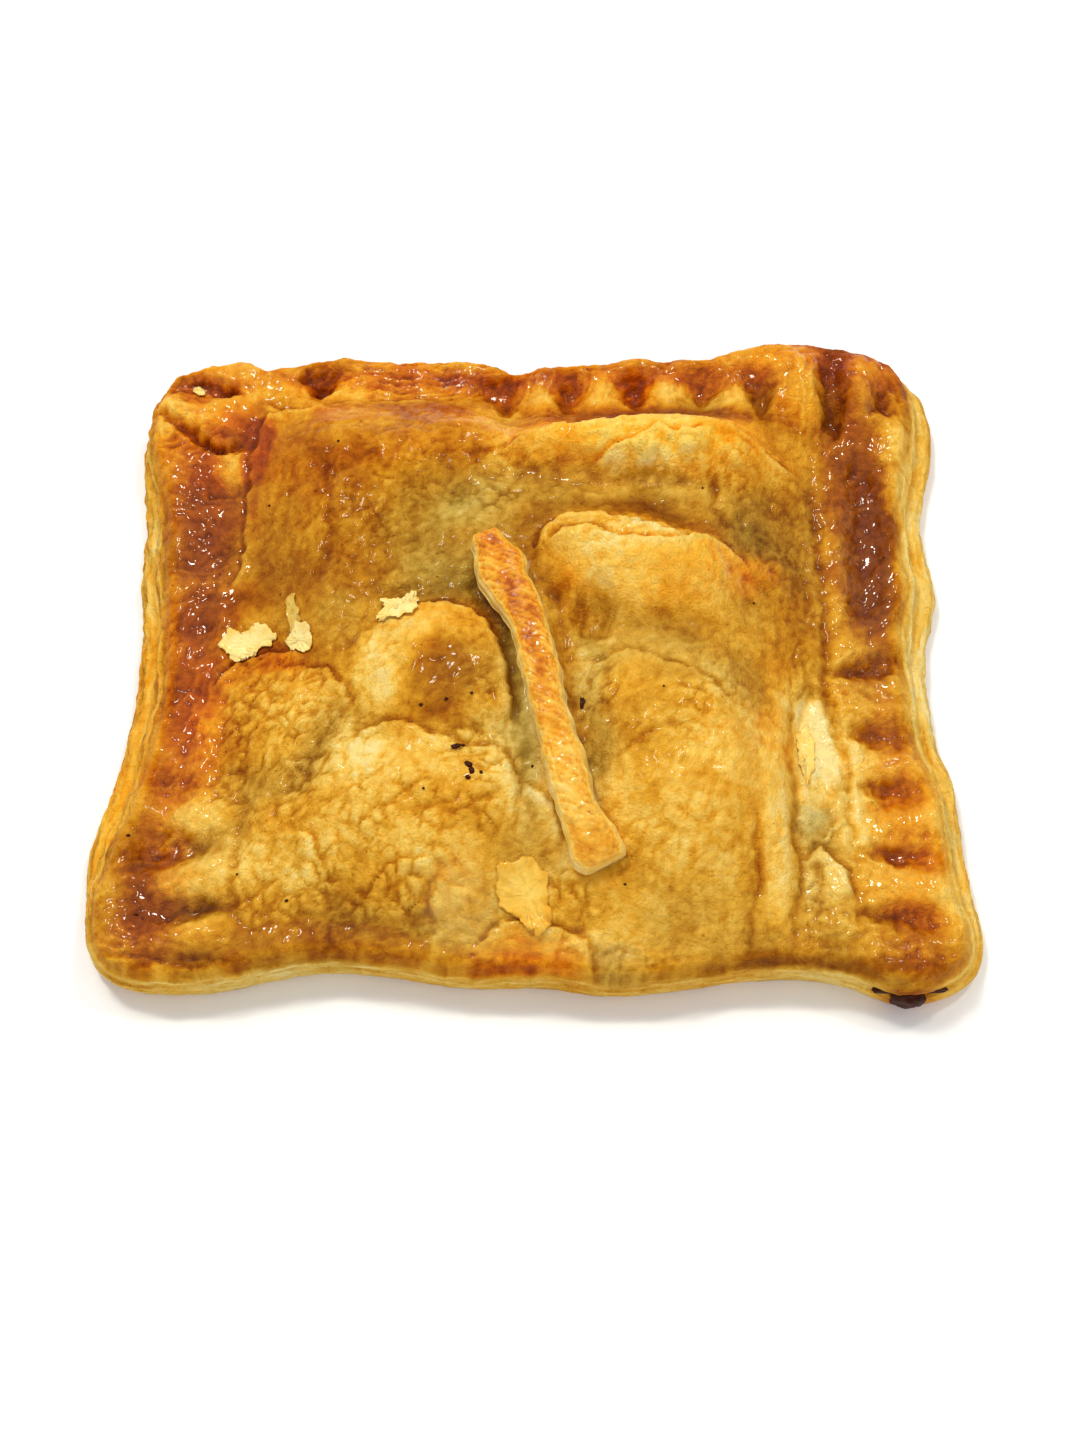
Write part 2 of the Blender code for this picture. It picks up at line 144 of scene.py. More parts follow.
def sheet_of_dough():
    """A flat sheet, its cells closer together near the rim, with u and v of each vertex."""
    mesh = bmesh.new()
    bmesh.ops.create_grid(mesh, x_segments=LID_COLUMNS, y_segments=LID_ROWS, size=1)
    mesh.verts.index_update()
    sheet = np.array([vertex.co[:2] for vertex in mesh.verts]).T
    u, v = sheet * (1 + EDGE_CROWDING) - sheet**3 * EDGE_CROWDING
    return mesh, u, v


def rim_order(mesh):
    """Index of each vertex round the open edge of a sheet, in order."""
    edge = next(e for e in mesh.edges if e.is_boundary)
    ring = [edge.verts[0], edge.verts[1]]
    while True:
        links = [e for e in ring[-1].link_edges if e.is_boundary]
        step = next(v for e in links for v in e.verts if v not in ring[-2:])
        if step is ring[0]:
            return [vertex.index for vertex in ring]
        ring.append(step)


def side_spread(x, y, u, v):
    """Outward direction round the outline, and how far the base reaches beyond the lid."""
    reach = 12
    along_x = np.roll(x, -reach) - np.roll(x, reach)
    along_y = np.roll(y, -reach) - np.roll(y, reach)
    outward = np.array([along_y, -along_x]) / np.hypot(along_x, along_y)
    if (outward[0] * u + outward[1] * v).sum() < 0:
        outward = -outward
    sides = np.array([
        curve_through(LEFT_SPREAD, y), curve_through(RIGHT_SPREAD, y),
        curve_through(BACK_SPREAD, x), curve_through(FRONT_SPREAD, x),
    ])
    weights = np.clip([-u, u, v, -v], 0, 1) ** 24
    return outward, (sides * weights).sum(0) / weights.sum(0)


def leaf_count(rim, share):
    """How many leaves lie below this share of the side's height, at each place round the rim."""
    wavelength, wander = LEAF_WANDER
    return share * LEAVES + wander * waves(rim["x"], rim["y"], wavelength, 3.3)


def place_ring(vertices, rim, share, tuck=0.0):
    """Moves a ring of vertices to its height on the layered side of the pie."""
    spread_share = curve_through([(h, s) for h, s, _ in SIDE_PROFILE], share)
    further = curve_through([(h, f) for h, _, f in SIDE_PROFILE], share)
    wander = waves(rim["x"], rim["y"], SEAM_WAVES[0], 0) * SEAM_WAVES[1] * share * (1 - share) * 4
    leaf = leaf_count(rim, share)
    number = np.floor(leaf)
    phase = leaf - number
    groove = np.exp(-((np.minimum(phase, 1 - phase) / LEAF_GROOVE_WIDTH) ** 2))
    ragged = np.array([
        noise.noise(Vector((a / 5, b / 5, leaf_seed * 7.3)))
        + 0.5 * noise.noise(Vector((a / 1.8, b / 1.8, leaf_seed * 3.1)))
        for a, b, leaf_seed in zip(rim["x"], rim["y"], number)
    ])
    hold = ease(share, 0, 0.08) * (1 - ease(share, 0.9, 1))
    hold = hold * (0.4 + 0.6 * ease(rim["y"], -66, -50)) * (1 - 0.45 * ease(rim["x"], 66, 80))
    relief = hold * (LEAF_STEP * ragged - LEAF_GROOVE * groove)
    out = spread_share * rim["spread"] + further + relief - tuck
    x, y = rim["x"] + rim["outward"][0] * out, rim["y"] + rim["outward"][1] * out
    z = rim["z"] * (share + wander)
    place_all(vertices, x, y, z)
    return groove * hold


def place(vertex, x, y, z):
    """Moves a vertex to a place on the plan."""
    vertex.co = Vector(((x - PLAN_CENTRE[0]) * MM, (y - PLAN_CENTRE[1]) * MM, z * MM))


def place_all(vertices, x, y, z):
    """Moves vertices to their places on the plan."""
    for vertex, *spot in zip(vertices, x, y, z):
        place(vertex, *spot)


def ring_below(mesh, ring):
    """Extrudes a ring of a mesh and returns the new ring, in the order of the old one."""
    pairs = zip(ring, ring[1:] + ring[:1])
    edges = [next(e for e in one.link_edges if e.other_vert(one) == other) for one, other in pairs]
    made = bmesh.ops.extrude_edge_only(mesh, edges=edges)["geom"]
    fresh = {g for g in made if isinstance(g, bmesh.types.BMVert)}
    return [next(e.other_vert(v) for e in v.link_edges if e.other_vert(v) in fresh) for v in ring]


def close_ends(mesh):
    """Fills the open ends of a stack of rings."""
    bmesh.ops.holes_fill(mesh, edges=[e for e in mesh.edges if e.is_boundary], sides=0)


def finished(name, mesh, material, **looks):
    """A named piece from a bmesh, with one value of each look on every vertex."""
    data = bpy.data.meshes.new(name)
    bmesh.ops.recalc_face_normals(mesh, faces=mesh.faces)
    mesh.to_mesh(data)
    mesh.free()
    data.shade_smooth()
    data.materials.append(material)
    for look, values in looks.items():
        data.attributes.new(look, "FLOAT", "POINT").data.foreach_set("value", np.asarray(values, "f"))
    piece = bpy.data.objects.new(name, data)
    bpy.context.scene.collection.objects.link(piece)
    return piece


# Lid. The upper sheet of puff pastry, brushed with egg, has sunk between lumps of filling and
# crazed as it rose. Fingers have pressed its rim on to the base. It is one sheet of fine cells,
# raised by named swells, presses, folds and torn steps, and turned down at the lip.
RIM_HEIGHT = 13.0
BACK_RIM_RISE = 2.0
LID_RISE = 11.0
LIP_ROUND = 3.2
LIP_DROP = 2.4
NOMINAL_WIDTH = 165.0
NOMINAL_DEPTH = 146.0
RISE_LEFT = (14, 46)
RISE_RIGHT = (15, 46)
RISE_BACK = (10, 30)
RISE_FRONT = (-2, 36)
# (x, y, radius, radius, turn in degrees, height, fullness)
SWELLS = (
    (60, 73, 26, 14, -8, 4.4, 1.2),
    (-20, -7, 19, 20, 0, 6.2, 1.5),
    (-22, -38, 26, 23, 12, 4.6, 1.6),
    (-54, -12, 13, 17, 8, 3.2, 1.4),
    (21, 19, 25, 15, -18, 6.6, 1.7),
    (30, -24, 20, 32, 4, 5.0, 1.6),
    (26, 48.6, 37, 9.6, -6, 4.6, 1.4),
    (-50, 40, 16, 22, 0, 1.6, 1.4),
    (-12, 42, 17, 15, 0, -2.2, 1.2),
    (14, 41, 20, 5.5, -4, -2.2, 1.0),
    (12.5, 7, 6, 8, 0, -3.4, 1.6),
    (56, -30, 7, 36, 0, -2.2, 1.4),
    (57, 22, 6, 22, -4, -1.2, 1.2),
    (47, 20, 4.5, 4.5, 0, 1.5, 1.0),
    (48, -38, 4.4, 26, 0, 1.5, 1.4),
    # Wedges left between the presses of the rim
    (2, 66.5, 5.5, 6.5, 0, 1.7, 1.2), (15, 68, 5.5, 6.5, 0, 1.9, 1.2), (30, 69, 5.5, 6.5, 0, 1.9, 1.2),
    (45, 66.5, 5, 7, 0, 1.7, 1.2), (60, 66, 4.5, 11, 4, 1.9, 1.2), (74, 67, 4.5, 10, -6, 1.7, 1.2),
    (71, -9, 10, 4, 0, 1.1, 1.3), (74, -21.5, 10, 4, -6, 1.2, 1.3), (75, -34, 10, 4, -6, 1.2, 1.3),
    (75, -48, 11, 4.5, -4, 1.2, 1.3), (-66, -33, 11, 4.5, 0, 1.1, 1.3), (-65, -46.5, 11, 5, 0, 1.1, 1.3),
    (-64, -58.5, 9, 4, -4, 1.0, 1.3),
    # Nodules where the back lump has burst its top leaf
    (18, 43, 4.2, 3.4, 20, 1.0, 1.4), (24, 44.5, 4, 3.4, 0, 1.3, 1.4), (29.5, 42, 3.6, 3, -10, 1.0, 1.4),
    (33.5, 46, 3.8, 4, 0, 1.3, 1.4), (38, 41.5, 3.6, 3.2, 0, 1.1, 1.4), (43, 45, 4, 4.2, 0, 1.2, 1.4),
    (9, 42, 3.6, 3, 0, 0.8, 1.4), (-3, 33, 3.6, 3.2, 0, 0.7, 1.4), (-29, 15, 4, 3.2, 20, 0.8, 1.4),
    (41, 34, 4, 4.4, 0, 0.8, 1.4),
    # A drop of filling that has boiled through the opening
    (56, -34.5, 4.4, 4.2, 0, 1.0, 1.8),
)
# (outer x, outer y, tip x, tip y, half width, depth)
PRESSES = (
    (82, 4, 61, -1, 5.0, 2.8), (82, -15, 62, -14, 5.5, 2.8), (83, -28, 65, -25.5, 5.0, 2.6),
    (85, -42, 66, -40.5, 4.6, 2.6), (86, -56, 63, -53.5, 4.8, 2.2), (80, 68, 74, 63, 4.5, 2.2),
    (66, 82, 67, 57, 6.0, 5.0), (50, 79, 51, 59, 5.8, 3.4), (38, 78, 37.5, 63, 5.2, 2.8),
    (22, 78, 23, 64, 5.6, 3.0), (8, 77, 7, 62, 5.6, 3.0), (-8, 77, -6, 62, 6.5, 3.6),
    (-46, 79, -49, 67, 5.6, 3.4), (-82, 72, -64, 70, 4.8, 2.2), (-85, 62, -62, 55, 6.0, 3.0),
    (-80, 46, -62, 44, 6.0, 1.4), (-79, 30, -63, 29, 8.0, 1.7), (-78, 12, -65, 10, 7.0, 1.2),
    (-77, -6, -67, -5, 7.0, 1.0), (-79, -24, -67, -26, 6.0, 1.2), (-84, -40, -62, -39.5, 7.0, 3.2),
    (-86, -54, -58, -52.5, 5.5, 3.0), (-82, -63, -59, -63.5, 3.6, 1.6),
)
# (points, half width, depth)
CHANNELS = (
    (((-72, 66), (-71, 40), (-71, 10), (-72, -20), (-77, -45), (-76, -58)), 7.5, 1.6),
    (((72, 62), (72, 40), (72, 20), (71, 4), (70, -20), (74, -50)), 7.5, 1.8),
    (((-60, 71), (-30, 72), (0, 70), (30, 72), (60, 75)), 6.0, 1.2),
    (((72, 56), (72.5, 40), (71, 24), (70, 10)), 6.0, 1.8),
)
FOLDS = (
    (((61.5, 46), (61, 30), (61, 10), (61.5, -5), (64, -25), (65, -45)), 2.2, 1.1),
    (((53, -4), (52.8, -20), (52, -40), (52, -62)), 1.8, 1.0),
    (((44.5, -36), (43.5, -54), (43, -64)), 1.6, 0.8),
    (((39, 46), (38, 34), (42, 28)), 2.0, 1.0),
    (((-82, 71), (-76, 72.5), (-70, 72), (-65, 70.5)), 2.0, 2.0),
    (((-85, 66), (-78, 62), (-70, 57.5), (-65, 56.5)), 1.8, 2.0),
    (((-52, 76), (-49, 72), (-46, 69.5)), 2.2, 1.6),
    (((-58, -28), (-58, -44), (-57, -60)), 2.6, 0.8),
    (((-36, -9), (-42, -19), (-50, -32)), 5.0, 1.2),
    (((-46, 48), (-42, 32), (-45, 14)), 3.0, 0.7),
    (((-8, 28), (-12, 14), (-7, 2), (-4, -12), (-2, -26), (1, -42)), 3.6, 1.0),
    (((5, 16), (8, -6), (10, -20), (14, -34)), 3.4, 1.0),
)
# The high side lies to the right of the line as it runs: (points, step, fade).
STEPS = (
    (((-33, 3), (-27, 8), (-19, 9.5), (-12, 7.5), (-7, 1), (-5, -8), (-3.5, -20)), 1.3, 7),
    (((-38, -22), (-33, -19), (-27, -18.5), (-21, -21), (-14, -24), (-6, -23.5), (-2.5, -30),
     (-4.5, -42)), 0.7, 8),
    (((0, 20), (2, 27), (7, 29.5), (12, 29), (20, 26.5), (30, 23), (40, 24), (46, 18)), 1.8, 8),
    (((11, -14), (13, -4), (19, -1), (27, -5), (34, -9), (41, -14)), 0.5, 8),
    (((-7, 46.5), (-4, 50.5), (4, 52), (16, 52.6), (26, 55), (35, 54.6), (45, 52), (52, 48), (59, 46)),
     1.6, 7),
    (((-67, -4), (-62, 1), (-56, 2.5), (-51, 1), (-46, 1)), 1.3, 7),
    (((-47, -3), (-42, -5), (-38, -9), (-36, -14)), 0.9, 5),
    (((-66, 16), (-62.5, 26), (-62.5, 40), (-62, 52), (-59, 63), (-50, 63), (-42, 66), (-28, 67),
     (-16, 66)), 0.7, 6),
    (((54.5, -44), (57, -40), (61, -44), (64, -51)), 1.3, 6),
)
# Smaller torn edges, too fine for the solids.
FINE_STEPS = (
    (((53.5, -22), (53.8, -12), (56, -7), (57.5, -4.5), (61, -6), (63, -14), (64, -26), (60, -31)),
     -1.0, 5),
    (((12, 43), (18, 46), (22, 47.5), (27, 50), (33, 48), (38, 50)), 0.9, 5),
    (((2, 22), (6, 24.8), (12, 24), (18, 21), (24, 20.6), (30, 20.5), (34, 24), (40, 24.5)), 1.0, 5),
    (((-22, -47), (-20.5, -53), (-20, -60)), -0.7, 4),
    (((-64, 69), (-71, 71), (-77, 71.5), (-83, 69.5)), 1.0, 4),
    (((-64, 56), (-70, 57), (-77, 61), (-85, 65)), 1.1, 4),
    (((-13, -62), (-9, -59.5), (-6, -56.5), (0, -57), (6, -58), (11, -60), (12, -68)), 0.8, 6),
    (((-2, -31), (2, -32.5), (4.5, -36), (6, -42)), 0.8, 4),
    (((-60, 65.5), (-56, 64.2), (-51, 63), (-46, 65)), 0.8, 4),
    (((35, -24), (31, -21), (27, -19), (21, -22), (17, -25)), 0.35, 5),
    (((-46, -38), (-43, -41), (-41.5, -46), (-39, -50)), 0.7, 4),
    (((-37, -12), (-41, -17), (-44, -22), (-49, -27)), 0.35, 5),
)
STEP_WIDTH = 0.9
PRESS_FIRMNESS = 0.9
# Torn plates and openings of the top leaf: (outline, height, bake, warmth, glaze)
PLATES = (
    (((53.4, -31), (53.2, -24), (53.6, -14), (55.5, -8), (57.5, -5), (59.5, -8), (60.5, -14), (62, -19),
      (60.5, -24), (61.5, -28), (59, -31.5), (56, -32)), -0.7, -0.20, 0.40, 0.1),
    (((54, -43), (56, -40.5), (58, -41), (60, -44), (62.5, -47), (64, -52), (63, -58), (58, -60),
      (54, -58), (53.5, -50)), 0.5, -0.06, -0.1, 0.2),
    (((-20, -47), (-15, -46.5), (-9, -49), (-7, -55), (-8, -61), (-13, -63), (-18, -61), (-20.5, -55)),
     -0.4, -0.02, 0.05, 0.4),
    (((-13, -62), (-10, -59), (-6, -57), (2, -59), (10, -58), (12, -61), (12.5, -66), (12, -74),
     (-12, -74)),
     -0.3, 0.02, 0.15, 0.4),
    (((12.5, -61), (16, -60.5), (21, -62), (24, -64), (22, -68), (20, -75), (12.5, -75)),
     -0.5, -0.10, -0.05, 0.5),
    (((-64, 44), (-60, 44), (-57.5, 52), (-57, 60), (-60, 63), (-64, 60), (-65, 50)), 0, 0.13, 0.3, 0.2),
    (((-22, -2), (-14, -1), (-9, -6), (-8, -14), (-12, -19), (-17, -20), (-21, -14), (-23, -8)),
     0, 0.04, 0.1, 0.1),
    (((13, 48), (18, 51), (24, 55), (30, 58), (40, 57), (47, 53), (44, 50), (36, 50), (28, 50), (20, 46)),
     0.3, 0.0, 0.35, 0),
    (((32, 24), (38, 25), (43, 23), (46, 18), (47, 12), (42, 12), (38, 16), (33, 18)),
     0.3, 0.02, 0.4, 0.2),
    (((-58, -57), (-45, -55), (-30, -57), (-20, -60), (-22, -66), (-60, -66)), 0, 0.09, 0.2, 0.3),
    (((-4, 44), (10, 46), (22, 44), (34, 44), (36, 40), (22, 37), (8, 38), (-4, 40)),
     -0.3, 0.0, 0.0, 0.2),
    (((-18, 58), (-10, 60), (-4, 56), (-6, 50), (-10, 48), (-14, 52)), 0.5, -0.04, 0.1, 0.1),
    (((-14, 45), (-8, 47), (-3, 43), (-6, 39), (-12, 38)), 0.4, -0.04, -0.2, 0.1),
    (((-44, 40), (-36, 44), (-30, 40), (-32, 32), (-38, 28), (-43, 33)), 0.35, -0.05, 0.0, 0.1),
    (((-34, 52), (-26, 54), (-22, 49), (-27, 45), (-33, 47)), 0.35, -0.05, 0.1, 0.1),
    (((-50, 62), (-40, 65), (-20, 65), (-8, 60), (-14, 54), (-30, 58), (-46, 56)), 0.3, 0.08, 0.2, 0.2),
)
# Bands of fine ridges: (x, y, radius, radius, turn of the ridges, pitch, height)
WRINKLES = (
    (-27, 73, 14, 6, 0, 1.7, 1.5), (-15, 73, 6, 5, 60, 1.5, 0.9), (-45, 73, 8, 6, 20, 1.8, 0.7),
    (18, 25, 20, 5, -8, 1.8, 0.9), (16, 59, 24, 4, 0, 1.8, 0.7), (40, 57, 11, 4, -25, 1.7, 0.7),
    (60, 66, 6, 13, 85, 2.0, 0.8), (45, 67, 6, 7, 75, 1.6, 0.7), (30, 70, 6, 6, 95, 1.6, 0.7),
    (15, 70, 6, 6, 85, 1.6, 0.7), (0, 70, 6, 6, 70, 1.6, 0.7), (8, 76, 40, 3, 5, 1.6, 0.7),
    (80, 70, 8, 10, -60, 2.2, 0.6), (-76, 69, 9, 5, -15, 2.0, 0.8), (-77, 58, 9, 6, 25, 1.6, 0.9),
    (-70, 44, 9, 14, -25, 3.2, 0.7), (-71, 20, 8, 14, 20, 3.0, 0.6), (-71, -6, 8, 16, 75, 3.0, 0.5),
    (-72, -24, 8, 10, 60, 2.8, 0.5), (-74, -46, 12, 18, 10, 2.6, 0.6), (-76, -62, 14, 6, -10, 2.0, 0.8),
    (71, 46, 9, 14, 60, 3.4, 0.7), (71, 22, 9, 14, 35, 3.2, 0.6), (69, -6, 9, 9, -10, 2.4, 0.5),
    (70, -24, 9, 9, 15, 2.4, 0.5), (72, -44, 9, 12, -15, 2.6, 0.5), (73, -62, 12, 8, 10, 2.6, 0.7),
    (17, -66, 6, 5, 60, 2.4, 0.6), (-20, -3, 15, 13, 40, 2.6, 0.4), (-54, 0, 12, 6, 10, 1.8, 0.6),
    (54, 10, 8, 28, 80, 2.4, 0.5),
    (46, -40, 7, 22, 88, 2.4, 0.5), (20, 48, 30, 6, 5, 2.2, 0.5), (0, -62, 60, 4, 0, 2.2, 0.6),
    (-48, 40, 14, 20, 80, 2.6, 0.4), (-26, 50, 16, 12, 60, 2.4, 0.4), (28, -30, 18, 24, 60, 3.0, 0.3),
    (12, 8, 6, 9, 80, 2.0, 0.6), (40, 14, 8, 12, -50, 2.2, 0.5),
)
STRIP_LINE = (
    (-9.4, 24.5, 23.6), (-6, 14, 24.2), (-1, 4.3, 24.6), (1.5, -5.6, 24.8), (3.5, -17.4, 24.4),
    (5, -22.7, 24.0), (7.4, -31.6, 22.8), (10.9, -40.5, 20.8), (14.2, -46.8, 19.0),
)
SEAT_HALF = 3.6
SEAT_FADE = 2.2
# (height, wavelength, layer)
DOUGH_WAVES = ((0.8, 26, 26), (0.45, 12, 12), (0.25, 7, 7))
GRAIN_WAVES = ((0.16, 1.5, 61),)
RIM_WAVES = ((0.14, 1.5, 61), (1.1, 6.5, 62))
# Cells of crazed dough: (size, depth of the cracks)
CRAZE_CELLS = ((3.6, 0.75), (1.8, 0.38))
CRACK_WIDTH = 0.26
# Where the lid is crazed: (x, y, radius, radius, amount)
CRAZED = (
    (-55, -12, 14, 13, 0.9), (-41, -20, 8, 12, 0.9, -20), (-27, -36, 15, 9, 0.8), (-30, -51, 16, 8, 0.9),
    (-50, -44, 9, 14, 0.7), (-10, -18, 7, 10, 0.9), (-8, -33, 7, 8, 0.7), (-32, 0, 6, 8, 0.5, 20),
    (7, -34, 6, 14, 0.6), (7, -54, 5, 8, 0.8), (13, -8, 6, 9, 0.6), (35, -13, 9, 8, 0.6),
    (27, -42, 12, 8, 0.4), (20, 24, 18, 5, 0.4), (40, 45, 12, 5, 0.4), (-8, 8, 6, 9, 0.5),
    (57, -50, 4, 9, 0.6), (54, -8, 5, 8, 0.4), (-12, 36, 12, 8, 0.5), (-62, -30, 6, 10, 0.4),
    (-32, 30, 14, 18, 0.3), (-8, 52, 10, 6, 0.4), (30, 44, 14, 6, 0.5), (50, 28, 8, 16, 0.3),
)
LID_SKIRT_ROWS = 17
LID_SKIRT_FOOT = 0.58

